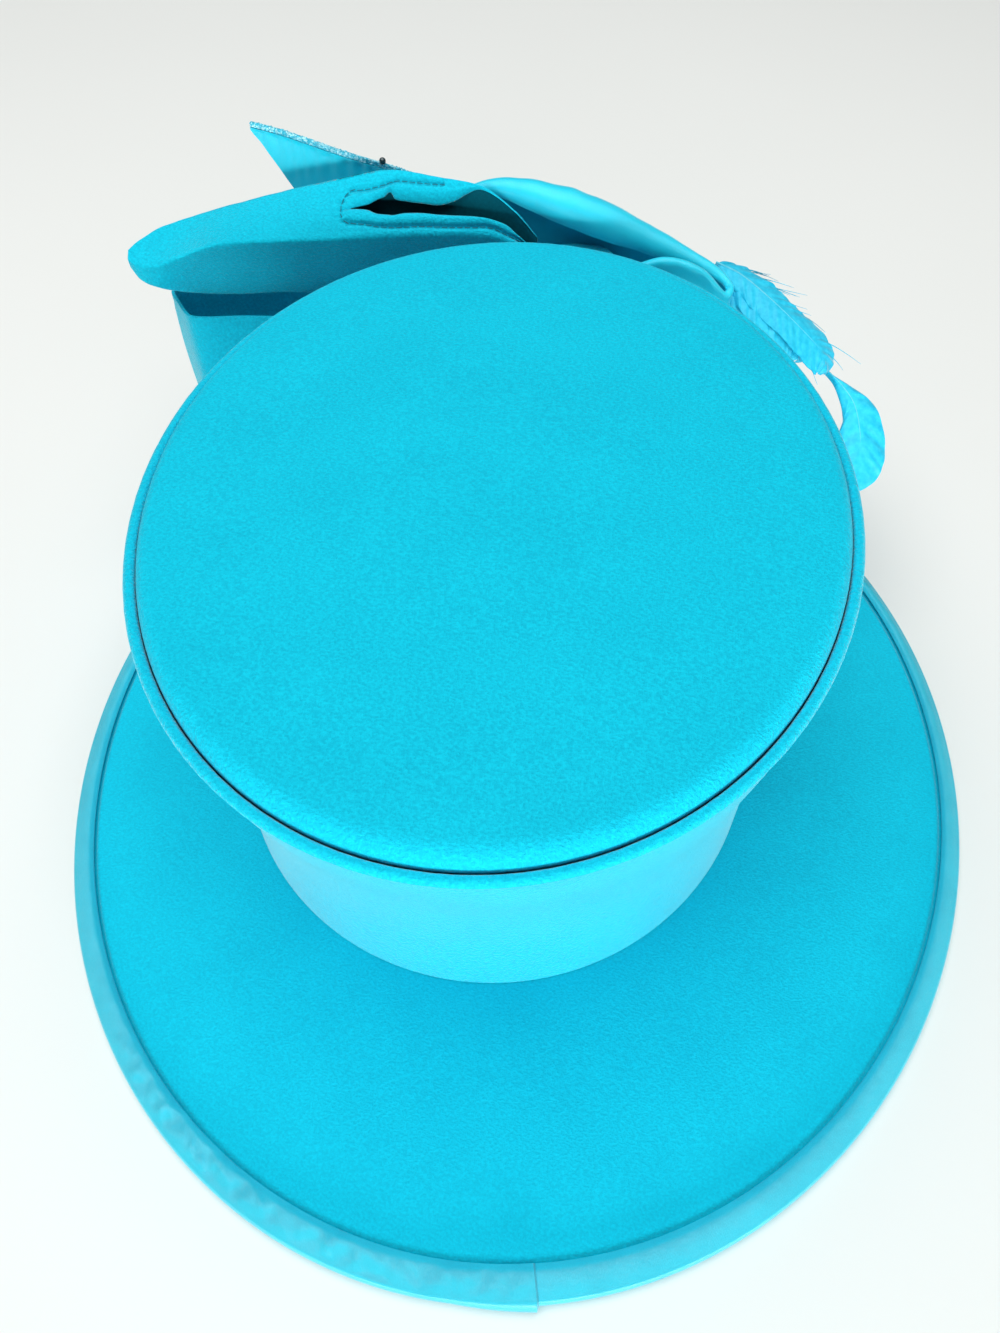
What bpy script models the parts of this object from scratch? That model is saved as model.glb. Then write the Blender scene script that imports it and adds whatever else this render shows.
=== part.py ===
"""Dress derby hat: a tall flared crown on a wide flat brim, with a bow, a pointed tail and feathers.

The hat stands on its brim. The origin is on the surface that it stands on, under the brim's centre.
+Z is up, +Y is the hat's front, where the bow is, and -Y is its back, where the brim's tape is joined.
"""
import math
from collections import namedtuple

import bmesh
import bpy
from mathutils import Vector

# Clearance between pieces that are sewn to each other
GAP = 0.0003

# Brim and the tape round its edge
BRIM_WIDTH = 0.3325
BRIM_LENGTH = 0.380
BRIM_THICKNESS = 0.0022
BRIM_RISE = 0.003
TAPE = 0.001
TAPE_COVER_FRONT = 0.0043
TAPE_COVER_BACK = 0.009
TAPE_JOIN_ANGLE = math.radians(-80)
TAPE_LAP_LENGTH = 0.028
TAPE_LAP_RISE = 0.0008

# Crown: its wall's outside at the foot, the top that is set into it, and where it stands on the brim
CROWN_HEIGHT = 0.1306
CROWN_FOOT_WIDTH = 0.1914
CROWN_FOOT_LENGTH = 0.204
CROWN_SHIFT_X = -0.009
CROWN_SHIFT_Y = 0.001
CROWN_WALL = 0.0025
WELT_RADIUS = 0.0017
TIP_WIDTH = 0.2038
TIP_LENGTH = 0.2472
TIP_SHIFT_Y = 0.0054
TIP_THICKNESS = 0.003
TIP_RISE = 0.0036
TIP_DOME = 0.002
TIP_ROUNDING = 0.005

# Knot on the crown's front, which holds the bow
KNOT_X = 0.004
KNOT_WIDTH = 0.034
KNOT_DEPTH = 0.0365
KNOT_HEIGHT = 0.055
KNOT_DROP = 0.011

# Crepe loops
LOOP_WALL = 0.0015
UPPER_LOOP_SPAN = 0.1522
UPPER_LOOP_DEPTH = 0.032
UPPER_LOOP_HEIGHT = 0.036
UPPER_MOUTH_REACH = 0.0697
UPPER_LOOP_WHOLE = 0.51
LOWER_LOOP_SPAN = 0.1475
LOWER_LOOP_DEPTH = 0.034
LOWER_LOOP_BAND = 0.050
LOWER_LOOP_DROP = 0.033

# Pointed tail, its glitter trim and bead
TAIL_LENGTH = 0.1115
TAIL_WIDTH = 0.044
TAIL_THICKNESS = 0.0015
TRIM_START = 0.33
TRIM_WIDTH = 0.003
TRIM_THICKNESS = 0.0016
BEAD_RADIUS = 0.0016
BEAD_PLACE = 0.56

# Satin sash, its rolled edge and its gathered end
SASH_REACH = 0.112
SASH_DEPTH = 0.0255
SASH_BAND = 0.052
SASH_WALL = 0.0014
SASH_ROLL = 0.007
SASH_FOLD_DEPTH = 0.0016
SASH_FOLDS = 3
GATHER_RADIUS = 0.0048
GATHER_HEIGHT = 0.017
GATHER_SEAT = 0.0008

# Feathers
FEATHER_THICKNESS = 0.001
FEATHER_WIDTH = 0.017
HANGING_FEATHER_WIDTH = 0.021
SPRAY_REACH = 0.0450
SPRAY_FALL = 0.027
HANGING_REACH = 0.0635
HANGING_FALL = 0.055

# How finely the cloth is divided
CROWN_STEPS = 64
WELT_STEPS = 4
TIP_EDGE_STEPS = 4
LOWER_LOOP_STEPS = 44
UPPER_LOOP_STEPS = 8
UPPER_MOUTH_STEPS = 6
SASH_STEPS = 26
FEATHER_STEPS = 10

# Outlines of the pieces, as shares of the sizes above
WallRow = namedtuple("WallRow", "height flare")
CROWN_PROFILE = (
    WallRow(0.00, 0.00),
    WallRow(0.14, 0.00),
    WallRow(0.28, 0.04),
    WallRow(0.42, 0.15),
    WallRow(0.56, 0.32),
    WallRow(0.70, 0.54),
    WallRow(0.85, 0.78),
    WallRow(1.00, 1.00),
)

KnotRow = namedtuple("KnotRow", "height size")
KNOT_PROFILE = (
    KnotRow(0.00, 0.62),
    KnotRow(0.12, 0.90),
    KnotRow(0.30, 1.00),
    KnotRow(0.50, 0.95),
    KnotRow(0.70, 1.00),
    KnotRow(0.88, 0.98),
    KnotRow(1.00, 0.70),
)

# along: from the knot to the folded end. near, far: how far forward its two faces are, of its depth. The
# others: how far down their top and bottom edges are from the crown's top, of its height
SleeveRow = namedtuple("SleeveRow", "along near near_top near_bottom far far_top far_bottom")
UPPER_LOOP_ROWS = (
    SleeveRow(0.00, 0.20, 0.29, 0.68, 0.39, 0.21, 0.68),
    SleeveRow(0.06, 0.21, 0.14, 0.71, 0.43, -0.01, 0.71),
    SleeveRow(0.14, 0.18, 0.07, 0.74, 0.50, -0.23, 0.74),
    SleeveRow(0.24, 0.12, 0.07, 0.74, 0.55, -0.33, 0.74),
    SleeveRow(0.37, 0.00, 0.07, 0.72, 0.57, -0.39, 0.71),
    SleeveRow(0.50, -0.16, 0.07, 0.71, 0.46, -0.30, 0.68),
    SleeveRow(0.64, -0.29, 0.07, 0.68, 0.37, -0.16, 0.66),
    SleeveRow(0.77, -0.41, 0.09, 0.67, 0.21, -0.04, 0.63),
    SleeveRow(0.87, -0.46, 0.25, 0.66, 0.07, 0.06, 0.57),
    SleeveRow(0.93, -0.49, 0.34, 0.61, -0.08, 0.11, 0.54),
    SleeveRow(0.98, -0.47, 0.35, 0.53, -0.25, 0.20, 0.46),
    SleeveRow(1.00, -0.43, 0.31, 0.41, -0.36, 0.25, 0.38),
)

# Lines along the sleeve. side: -1 near, 1 far. height: -1 bottom, 1 top. mouth: where the line ends, of
# the mouth's reach
SleeveLine = namedtuple("SleeveLine", "side height mouth")
UPPER_LOOP_LINES = (
    SleeveLine(-0.85, -1.00, 0.0),
    SleeveLine(-1.00, -0.70, 0.0),
    SleeveLine(-1.00, -0.10, 0.0),
    SleeveLine(-1.00, 0.50, 0.0),
    SleeveLine(-1.00, 0.85, 0.0),
    SleeveLine(-0.85, 1.00, 0.0),
    SleeveLine(-0.50, 1.00, 0.0),
    SleeveLine(-0.35, 1.00, 0.92),
    SleeveLine(-0.15, 1.00, 1.0),
    SleeveLine(0.10, 1.00, 0.98),
    SleeveLine(0.35, 1.00, 0.93),
    SleeveLine(0.55, 1.00, 0.80),
    SleeveLine(0.70, 1.00, 0.0),
    SleeveLine(0.90, 1.00, 0.0),
    SleeveLine(1.00, 0.80, 0.0),
    SleeveLine(1.00, 0.20, 0.0),
    SleeveLine(1.00, -0.40, 0.0),
    SleeveLine(1.00, -0.80, 0.0),
    SleeveLine(0.80, -1.00, 0.0),
    SleeveLine(0.25, -1.00, 0.0),
    SleeveLine(-0.30, -1.00, 0.0),
)

# turn: once round the loop from the knot and back. along: from the knot to the folded end. forward: of the
# loop's depth
LoopRow = namedtuple("LoopRow", "turn along forward")
LOWER_LOOP_ROWS = (
    LoopRow(0.00, 0.00, 0.17),
    LoopRow(0.08, 0.12, 0.08),
    LoopRow(0.21, 0.46, -0.18),
    LoopRow(0.34, 0.76, -0.40),
    LoopRow(0.40, 0.875, -0.49),
    LoopRow(0.43, 0.92, -0.47),
    LoopRow(0.48, 0.97, -0.22),
    LoopRow(0.52, 1.00, -0.02),
    LoopRow(0.55, 0.985, 0.12),
    LoopRow(0.61, 0.86, 0.32),
    LoopRow(0.73, 0.58, 0.54),
    LoopRow(0.87, 0.24, 0.55),
    LoopRow(0.94, 0.08, 0.40),
    LoopRow(1.00, 0.00, 0.27),
)

# along: from the tail's root to its point. upper, lower: how far its edges are above the crown's top, of
# its width
TailRow = namedtuple("TailRow", "along upper lower")
TAIL_ROWS = (
    TailRow(0.00, -0.15, -0.81),
    TailRow(0.15, -0.03, -0.88),
    TailRow(0.33, 0.04, -0.88),
    TailRow(0.51, 0.17, -0.79),
    TailRow(0.645, 0.25, -0.63),
    TailRow(0.735, 0.31, -0.47),
    TailRow(0.825, 0.375, -0.25),
    TailRow(0.89, 0.42, 0.00),
    TailRow(0.945, 0.45, 0.24),
    TailRow(1.00, 0.475, 0.455),
)

# along: from the free left end, round the right-hand fold, to the knot. side: of the sash's reach, from
# the knot to the right. forward: of its depth. top, bottom: of its band's height, down from the crown's
# top. roll: of the rolled edge's radius
SashRow = namedtuple("SashRow", "along side forward top bottom roll")
SASH_ROWS = (
    SashRow(0.00, -0.48, 0.90, -0.20, 0.70, 0.45),
    SashRow(0.12, -0.31, 0.99, -0.23, 0.88, 0.62),
    SashRow(0.25, -0.11, 1.00, -0.21, 1.00, 0.95),
    SashRow(0.37, 0.07, 0.99, -0.11, 1.02, 1.0),
    SashRow(0.48, 0.235, 0.90, 0.04, 0.98, 0.75),
    SashRow(0.58, 0.375, 0.72, 0.16, 0.90, 0.5),
    SashRow(0.66, 0.475, 0.50, 0.24, 0.84, 0.3),
    SashRow(0.72, 0.525, 0.26, 0.30, 0.82, 0.22),
    SashRow(0.78, 0.500, 0.08, 0.33, 0.82, 0.22),
    SashRow(0.85, 0.405, 0.02, 0.15, 0.84, 0.25),
    SashRow(0.93, 0.275, 0.06, 0.10, 0.88, 0.28),
    SashRow(1.00, 0.155, 0.13, 0.22, 0.88, 0.28),
)

# side, forward, fall: of the spray's reach, reach and fall, from the gathered end. width: of the
# feather's half width
FeatherRow = namedtuple("FeatherRow", "along side forward fall width")
SPRAY_ROWS = (
    FeatherRow(0.00, 0.00, 0.00, 0.00, 0.30),
    FeatherRow(0.20, 0.22, -0.06, 0.11, 0.62),
    FeatherRow(0.40, 0.48, -0.21, 0.30, 0.92),
    FeatherRow(0.60, 0.72, -0.33, 0.54, 1.00),
    FeatherRow(0.80, 0.92, -0.42, 0.78, 0.85),
    FeatherRow(0.92, 0.98, -0.48, 0.90, 0.50),
    FeatherRow(1.00, 1.00, -0.55, 1.00, 0.08),
)
HANGING_ROWS = (
    FeatherRow(0.00, 0.00, 0.00, 0.00, 0.06),
    FeatherRow(0.15, 0.22, -0.05, 0.15, 0.05),
    FeatherRow(0.30, 0.46, -0.16, 0.29, 0.05),
    FeatherRow(0.45, 0.73, -0.28, 0.42, 0.06),
    FeatherRow(0.55, 0.86, -0.36, 0.51, 0.45),
    FeatherRow(0.65, 0.93, -0.42, 0.59, 0.84),
    FeatherRow(0.75, 0.98, -0.53, 0.71, 1.00),
    FeatherRow(0.85, 0.99, -0.63, 0.80, 0.90),
    FeatherRow(0.93, 1.00, -0.72, 0.905, 0.55),
    FeatherRow(1.00, 1.00, -0.80, 1.00, 0.06),
)

# Heights that the sizes give
BRIM_EDGE_HEIGHT = TAPE + GAP + BRIM_THICKNESS / 2
CROWN_FOOT = BRIM_EDGE_HEIGHT + BRIM_RISE + BRIM_THICKNESS / 2 + GAP
WELT_HEIGHT = CROWN_HEIGHT - WELT_RADIUS
FULL_TURN = 2 * math.pi


def clear_scene():
    for item in list(bpy.data.objects):
        bpy.data.objects.remove(item)


def cloth(name, colour, roughness):
    look = bpy.data.materials.new(name)
    look.use_nodes = True
    shader = look.node_tree.nodes["Principled BSDF"]
    shader.inputs["Base Color"].default_value = (*colour, 1.0)
    shader.inputs["Roughness"].default_value = roughness
    return look


def read(table, at):
    """The table's values at a place between its rows, on a smooth curve through them."""
    rows = [tuple(row) for row in table]
    last = len(rows) - 1
    at = min(max(at, rows[0][0]), rows[last][0])
    k = 0
    while k < last - 1 and rows[k + 1][0] < at:
        k += 1
    before, here, there, after = rows[max(k - 1, 0)], rows[k], rows[k + 1], rows[min(k + 2, last)]
    step = there[0] - here[0]
    t = (at - here[0]) / step
    values = [at]
    for column in range(1, len(here)):
        slope_in = (there[column] - before[column]) / (there[0] - before[0]) * step
        slope_out = (after[column] - here[column]) / (after[0] - here[0]) * step
        values.append(
            here[column] * (2 * t ** 3 - 3 * t ** 2 + 1)
            + slope_in * (t ** 3 - 2 * t ** 2 + t)
            + there[column] * (3 * t ** 2 - 2 * t ** 3)
            + slope_out * (t ** 3 - t ** 2)
        )
    return type(table[0])(*values)


def add_solid(name, points, faces, look, smooth_below=math.radians(40)):
    """One closed body from its points and faces, turned so that its faces point out."""
    mesh = bpy.data.meshes.new(name)
    mesh.from_pydata([tuple(point) for point in points], [], faces)
    work = bmesh.new()
    work.from_mesh(mesh)
    bmesh.ops.triangulate(work, faces=work.faces)
    bmesh.ops.recalc_face_normals(work, faces=work.faces)
    if work.calc_volume(signed=True) < 0:
        bmesh.ops.reverse_faces(work, faces=work.faces)
    work.to_mesh(mesh)
    work.free()
    mesh.shade_smooth()
    mesh.set_sharp_from_angle(angle=smooth_below)
    mesh.materials.append(look)
    solid = bpy.data.objects.new(name, mesh)
    bpy.context.collection.objects.link(solid)
    return solid


def skin(sections, closed_path):
    """Points and side faces of closed sections that follow each other along a path."""
    count = len(sections[0])
    points = [point for section in sections for point in section]
    spans = len(sections) if closed_path else len(sections) - 1
    faces = []
    for i in range(spans):
        here = i * count
        there = (i + 1) % len(sections) * count
        for j in range(count):
            k = (j + 1) % count
            faces.append((here + j, here + k, there + k, there + j))
    return points, faces


def ring_solid(name, sections, look):
    """A body whose section goes all the way round and meets itself."""
    points, faces = skin(sections, closed_path=True)
    return add_solid(name, points, faces, look)


def strip_solid(name, sections, look):
    """A body with two ends. Each section runs out along one face of the strip and back on the other."""
    points, faces = skin(sections, closed_path=False)
    count = len(sections[0])
    last = (len(sections) - 1) * count
    for j in range(count // 2 - 1):
        back = count - 1 - j
        faces.append((j, back, back - 1, j + 1))
        faces.append((last + j, last + j + 1, last + back - 1, last + back))
    return add_solid(name, points, faces, look)


def turns(steps, start=0.0):
    return [start + FULL_TURN * i / steps for i in range(steps)]


def oval_point(angle, half_x, half_y, centre_x, centre_y, inward, z):
    """A point on an oval, moved inward across it."""
    across = Vector((math.cos(angle) / half_x, math.sin(angle) / half_y, 0)).normalized()
    rim = Vector((centre_x + half_x * math.cos(angle), centre_y + half_y * math.sin(angle), z))
    return rim - across * inward


def crown_oval(z):
    """Half width, half length and centre of the crown wall's outside at a height."""
    share = min(max((z - CROWN_FOOT) / (WELT_HEIGHT - CROWN_FOOT), 0), 1)
    flare = read(CROWN_PROFILE, share).flare
    rim = GAP + 2 * WELT_RADIUS
    half_x = CROWN_FOOT_WIDTH / 2 + (TIP_WIDTH / 2 + rim - CROWN_FOOT_WIDTH / 2) * flare
    half_y = CROWN_FOOT_LENGTH / 2 + (TIP_LENGTH / 2 + rim - CROWN_FOOT_LENGTH / 2) * flare
    return half_x, half_y, CROWN_SHIFT_Y + TIP_SHIFT_Y * share


def crown_point(angle, z, inward, level=None):
    """A point on the crown wall, or inside it. level: take the oval of another height."""
    half_x, half_y, centre_y = crown_oval(z if level is None else level)
    return oval_point(angle, half_x, half_y, CROWN_SHIFT_X, centre_y, inward, z)


def crown_front(x, z):
    """How far forward the crown wall's outside is."""
    half_x, half_y, centre_y = crown_oval(z)
    return centre_y + half_y * math.sqrt(1 - ((x - CROWN_SHIFT_X) / half_x) ** 2)


def make_crown_side(look):
    heights = [CROWN_FOOT + (WELT_HEIGHT - CROWN_FOOT) * row.height for row in CROWN_PROFILE]
    sections = []
    for angle in turns(CROWN_STEPS, TAPE_JOIN_ANGLE):
        section = [crown_point(angle, z, 0) for z in heights]
        for i in range(1, 2 * WELT_STEPS):
            roll = 1.5 * math.pi * i / (2 * WELT_STEPS)
            inward = WELT_RADIUS * (1 - math.cos(roll))
            z = WELT_HEIGHT + WELT_RADIUS * math.sin(roll)
            section.append(crown_point(angle, z, inward, level=WELT_HEIGHT))
        section.append(crown_point(angle, WELT_HEIGHT - WELT_RADIUS, CROWN_WALL))
        section += [crown_point(angle, z, CROWN_WALL) for z in reversed(heights[:-1:2])]
        sections.append(section)
    return ring_solid("crown_side", sections, look)


def tip_point(angle, size, z):
    """A point of the crown's top. size: share of the way out to its edge."""
    centre_y = CROWN_SHIFT_Y + TIP_SHIFT_Y
    x = CROWN_SHIFT_X + TIP_WIDTH / 2 * size * math.cos(angle)
    return Vector((x, centre_y + TIP_LENGTH / 2 * size * math.sin(angle), z))


def make_crown_tip(look):
    """A plate that stands above the welt, rounds down into the groove inside it and has a low dome."""
    edge_height = WELT_HEIGHT
    shoulder = CROWN_HEIGHT + TIP_RISE
    reach = 2 * TIP_ROUNDING / TIP_WIDTH
    rings = [(1 - reach / 2, shoulder - TIP_THICKNESS)]
    for i in range(TIP_EDGE_STEPS + 1):
        roll = math.pi / 2 * i / TIP_EDGE_STEPS
        size = 1 - reach * (1 - math.cos(roll))
        rings.append((size, edge_height + (shoulder - edge_height) * math.sin(roll)))
    for size in (0.78, 0.5, 0.22):
        rings.append((size, shoulder + TIP_DOME * (1 - size ** 2)))
    under = [(size, shoulder - TIP_THICKNESS + TIP_DOME * (1 - size ** 2)) for size in (0.22, 0.5, 0.78)]
    points = [Vector((CROWN_SHIFT_X, CROWN_SHIFT_Y + TIP_SHIFT_Y, shoulder + TIP_DOME))]
    points.append(points[0] - Vector((0, 0, TIP_THICKNESS)))
    loops = list(reversed(rings)) + list(reversed(under))
    for size, z in loops:
        points += [tip_point(angle, size, z) for angle in turns(CROWN_STEPS, TAPE_JOIN_ANGLE)]
    faces = []
    for j in range(CROWN_STEPS):
        k = (j + 1) % CROWN_STEPS
        faces.append((0, 2 + j, 2 + k))
        for i in range(len(loops) - 1):
            here = 2 + i * CROWN_STEPS
            there = here + CROWN_STEPS
            faces.append((here + j, there + j, there + k, here + k))
        inner = 2 + (len(loops) - 1) * CROWN_STEPS
        faces.append((inner + j, 1, inner + k))
    return add_solid("crown_tip", points, faces, look)


def brim_point(angle, share, up, out=0.0):
    """A point on the brim: share 0 at the crown's inside, 1 at its edge, then out beyond the edge."""
    edge_x = BRIM_WIDTH / 2 - TAPE - GAP
    edge_y = BRIM_LENGTH / 2 - TAPE - GAP
    inner = crown_point(angle, CROWN_FOOT, CROWN_WALL)
    outer = oval_point(angle, edge_x, edge_y, 0, 0, -out, 0)
    place = inner.lerp(outer, share)
    place.z = BRIM_EDGE_HEIGHT + BRIM_RISE * (1 - share ** 2) + up
    return place


def brim_depth(angle):
    return (brim_point(angle, 1, 0) - brim_point(angle, 0, 0)).length


def make_brim(look):
    shares = (0, 0.4, 0.75, 1)
    half = BRIM_THICKNESS / 2
    sections = []
    for angle in turns(CROWN_STEPS, TAPE_JOIN_ANGLE):
        section = [brim_point(angle, share, half) for share in shares]
        section += [brim_point(angle, share, -half) for share in reversed(shares)]
        sections.append(section)
    return ring_solid("brim", sections, look)


def tape_section(angle, lap):
    """The folded tape across the brim's edge. lap: how much thicker it is on top where it laps."""
    back_share = (1 - math.sin(angle)) / 2
    cover = TAPE_COVER_FRONT + (TAPE_COVER_BACK - TAPE_COVER_FRONT) * back_share ** 2.5
    inner_end = 1 - cover / brim_depth(angle)
    middle = (1 + inner_end) / 2
    inside = BRIM_THICKNESS / 2 + GAP
    outside = inside + TAPE
    section = [brim_point(angle, share, outside + lap) for share in (inner_end, middle, 1)]
    for fold in (45, 90, 135):
        roll = math.radians(fold)
        up = outside * math.cos(roll) + lap * max(math.cos(roll), 0)
        out = (GAP + TAPE) * math.sin(roll)
        section.append(brim_point(angle, 1, up, out))
    section += [brim_point(angle, share, -outside) for share in (1, inner_end)]
    section += [brim_point(angle, share, -inside) for share in (inner_end, 1)]
    section += [brim_point(angle, 1, -inside / 2, GAP), brim_point(angle, 1, inside / 2, GAP)]
    section += [brim_point(angle, share, inside) for share in (1, inner_end)]
    return section


def make_brim_binding(look):
    """The tape starts at the join, goes all the way round and laps over its own start."""
    seam = 0.004
    lap_angle = TAPE_LAP_LENGTH / (BRIM_LENGTH / 2)
    sections = []
    for i in range(CROWN_STEPS + 1):
        angle = TAPE_JOIN_ANGLE + (FULL_TURN - seam) * i / CROWN_STEPS
        to_end = FULL_TURN - seam - (angle - TAPE_JOIN_ANGLE)
        lap = TAPE_LAP_RISE * max(1 - to_end / lap_angle, 0)
        sections.append(tape_section(angle, lap))
    return ring_solid("brim_binding", sections, look)


def knot_front():
    """How far forward the knot's front is."""
    middle = CROWN_HEIGHT - KNOT_DROP - KNOT_HEIGHT / 2
    return crown_front(KNOT_X, middle) + GAP + KNOT_DEPTH


def knot_side(direction):
    """Where a piece that is sewn to the knot's side ends: direction -1 is left, 1 is right."""
    return KNOT_X + direction * (KNOT_WIDTH / 2 + GAP)


def rounded_box_point(angle, half_a, half_b, boxiness=3.0):
    """A point on an outline between an oval and a box."""
    power = 2 / boxiness
    a = math.copysign(abs(math.cos(angle)) ** power, math.cos(angle))
    b = math.copysign(abs(math.sin(angle)) ** power, math.sin(angle))
    return half_a * a, half_b * b


def make_bow_knot(look):
    """Its back follows the crown's wall, and its front is upright."""
    sides = 20
    bottom = CROWN_HEIGHT - KNOT_DROP - KNOT_HEIGHT
    points = []
    for row in KNOT_PROFILE:
        z = bottom + KNOT_HEIGHT * row.height
        back = crown_front(KNOT_X, z) + GAP
        front = knot_front()
        for angle in turns(sides):
            x, y = rounded_box_point(angle, KNOT_WIDTH / 2 * row.size, (front - back) / 2 * row.size)
            points.append(Vector((KNOT_X + x, (front + back) / 2 + y, z)))
    _, faces = skin([points[i * sides:(i + 1) * sides] for i in range(len(KNOT_PROFILE))], False)
    faces.append(tuple(range(sides)))
    faces.append(tuple(range(len(points) - sides, len(points))))
    return add_solid("bow_knot", points, faces, look)


def make_upper_loop(look):
    """A flattened sleeve. Its left end is folded shut, and a slit in its top is its mouth."""
    right = knot_side(-1)
    front = crown_front(KNOT_X, WELT_HEIGHT)

    def sleeve_point(along, line, wall):
        row = read(UPPER_LOOP_ROWS, along)
        near, far = UPPER_LOOP_DEPTH * row.near, UPPER_LOOP_DEPTH * row.far
        side = (1 + line.side * (1 - 2 * wall / (far - near))) / 2
        top = UPPER_LOOP_HEIGHT * (row.near_top + (row.far_top - row.near_top) * side)
        bottom = UPPER_LOOP_HEIGHT * (row.near_bottom + (row.far_bottom - row.near_bottom) * side)
        height = (1 + line.height * (1 - 2 * wall / (bottom - top))) / 2
        x = right - UPPER_LOOP_SPAN * along
        return Vector((x, front + near + (far - near) * side, CROWN_HEIGHT - bottom + (bottom - top) * height))

    sections = []
    for wall in (0, LOOP_WALL):
        closed_end = 1 - wall / UPPER_LOOP_SPAN
        rings = []
        for i in range(UPPER_LOOP_STEPS):
            away = 1 - math.cos(math.pi / 2 * i / UPPER_LOOP_STEPS)
            along = closed_end + (UPPER_LOOP_WHOLE - closed_end) * away
            rings.append([sleeve_point(along, line, wall) for line in UPPER_LOOP_LINES])
        for i in range(UPPER_MOUTH_STEPS + 1):
            rings.append([])
            for line in UPPER_LOOP_LINES:
                end = UPPER_MOUTH_REACH / UPPER_LOOP_SPAN * line.mouth
                along = UPPER_LOOP_WHOLE + (end - UPPER_LOOP_WHOLE) * i / UPPER_MOUTH_STEPS
                rings[-1].append(sleeve_point(along, line, wall))
        sections += reversed(rings) if wall else rings
    points, faces = skin(sections, closed_path=False)
    faces.append(tuple(range(len(UPPER_LOOP_LINES))))
    faces.append(tuple(range(len(points) - len(UPPER_LOOP_LINES), len(points))))
    return add_solid("upper_loop", points, faces, look)


def lower_loop_outline():
    """The lower loop's band from above: from the knot, round the folded left end and back."""
    front = crown_front(KNOT_X, WELT_HEIGHT)
    outline = []
    for i in range(LOWER_LOOP_STEPS + 1):
        row = read(LOWER_LOOP_ROWS, i / LOWER_LOOP_STEPS)
        x = knot_side(-1) - LOWER_LOOP_SPAN * row.along
        outline.append((row.along, Vector((x, front + LOWER_LOOP_DEPTH * row.forward, 0))))
    return outline


def make_lower_loop(look):
    outline = lower_loop_outline()
    count = len(outline)
    sections = []
    for i, (along, place) in enumerate(outline):
        direction = (outline[(i + 1) % count][1] - outline[i - 1][1]).normalized()
        inward = direction.cross(Vector((0, 0, 1)))
        top = CROWN_HEIGHT - LOWER_LOOP_DROP - LOWER_LOOP_BAND * 0.12 * (1 - along) ** 2
        bottom = top - LOWER_LOOP_BAND * (1 - 0.34 * (1 - along) ** 2)
        up = Vector((0, 0, 1))
        inner = place + inward * LOOP_WALL
        sections.append([place + up * bottom, place + up * top, inner + up * top, inner + up * bottom])
    return ring_solid("lower_loop", sections, look)


def sash_front():
    """How far forward the sash's outside is where it passes the knot."""
    return knot_front() + GAP + SASH_WALL + SASH_FOLD_DEPTH


def sash_place(along):
    """Where the sash's outside runs, and its row."""
    row = read(SASH_ROWS, along)
    x = KNOT_X + SASH_REACH * row.side
    return Vector((x, sash_front() - SASH_DEPTH * (1 - row.forward), 0)), row


def sash_inward(along):
    """Level direction from the sash's wall to the hollow side, and the wall's own direction."""
    step = 0.01
    before, _ = sash_place(max(along - step, 0))
    after, _ = sash_place(min(along + step, 1))
    direction = (after - before).normalized()
    return Vector((direction.y, -direction.x, 0)), direction


def sash_section(along):
    """Up the outside, over the rolled edge and back down: a wall with its edge turned over inward."""
    place, row = sash_place(along)
    inward, _ = sash_inward(along)
    top = CROWN_HEIGHT - SASH_BAND * row.top
    bottom = CROWN_HEIGHT - SASH_BAND * row.bottom
    radius = SASH_ROLL * row.roll
    rows = []
    levels = 6
    for i in range(levels):
        share = i / (levels - 1)
        z = bottom + (top - radius - bottom) * share
        wave = math.sin(math.pi * share) * (1 - math.cos(FULL_TURN * SASH_FOLDS * share)) / 2
        rows.append((SASH_FOLD_DEPTH * wave, z, Vector((-1, 0))))
    for degrees in (45, 90, 135, 180, 215):
        roll = math.radians(degrees)
        rows.append((
            radius * (1 - math.cos(roll)),
            top - radius + radius * math.sin(roll),
            Vector((-math.cos(roll), math.sin(roll))),
        ))
    outer = []
    inner = []
    for offset, z, outward in rows:
        outer.append(place + inward * offset + Vector((0, 0, z)))
        depth = offset - outward.x * SASH_WALL
        inner.append(place + inward * depth + Vector((0, 0, z - outward.y * SASH_WALL)))
    return outer + list(reversed(inner))


def make_satin_sash(look):
    sections = [sash_section(i / SASH_STEPS) for i in range(SASH_STEPS + 1)]
    return strip_solid("satin_sash", sections, look)


def tail_edge(along, edge):
    """A point on the tail's back face. edge: how far it is above the crown's top, of its width."""
    x = KNOT_X - KNOT_WIDTH / 2 - TAIL_LENGTH * along
    return Vector((x, sash_front() + GAP, CROWN_HEIGHT + TAIL_WIDTH * edge))


def make_pointed_tail(look):
    sections = []
    for i in range(15):
        row = read(TAIL_ROWS, i / 14)
        upper, lower = tail_edge(row.along, row.upper), tail_edge(row.along, row.lower)
        middle = (upper + lower) / 2
        thick = Vector((0, TAIL_THICKNESS, 0))
        sections.append([lower, middle, upper, upper + thick, middle + thick, lower + thick])
    return strip_solid("pointed_tail", sections, look)


def trim_seat(along):
    """A point on the tail's upper edge, in the middle of its thickness, and the direction off it."""
    step = 0.02
    place, before, after = [
        tail_edge(at, read(TAIL_ROWS, at).upper) for at in (along, along - step, min(along + step, 1))
    ]
    ahead = (after - before).normalized()
    return place + Vector((0, TAIL_THICKNESS / 2, 0)), Vector((ahead.z, 0, -ahead.x))


def make_tail_trim(look):
    """A flat braid that stands on the tail's upper edge, from beside the sash to the point."""
    sections = []
    for i in range(13):
        place, outward = trim_seat(TRIM_START + (1 - TRIM_START) * i / 12)
        seat = place + outward * GAP
        thick = Vector((0, TRIM_THICKNESS / 2, 0))
        top = seat + outward * TRIM_WIDTH
        sections.append([seat - thick, top - thick, top + thick, seat + thick])
    return strip_solid("tail_trim", sections, look)


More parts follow.
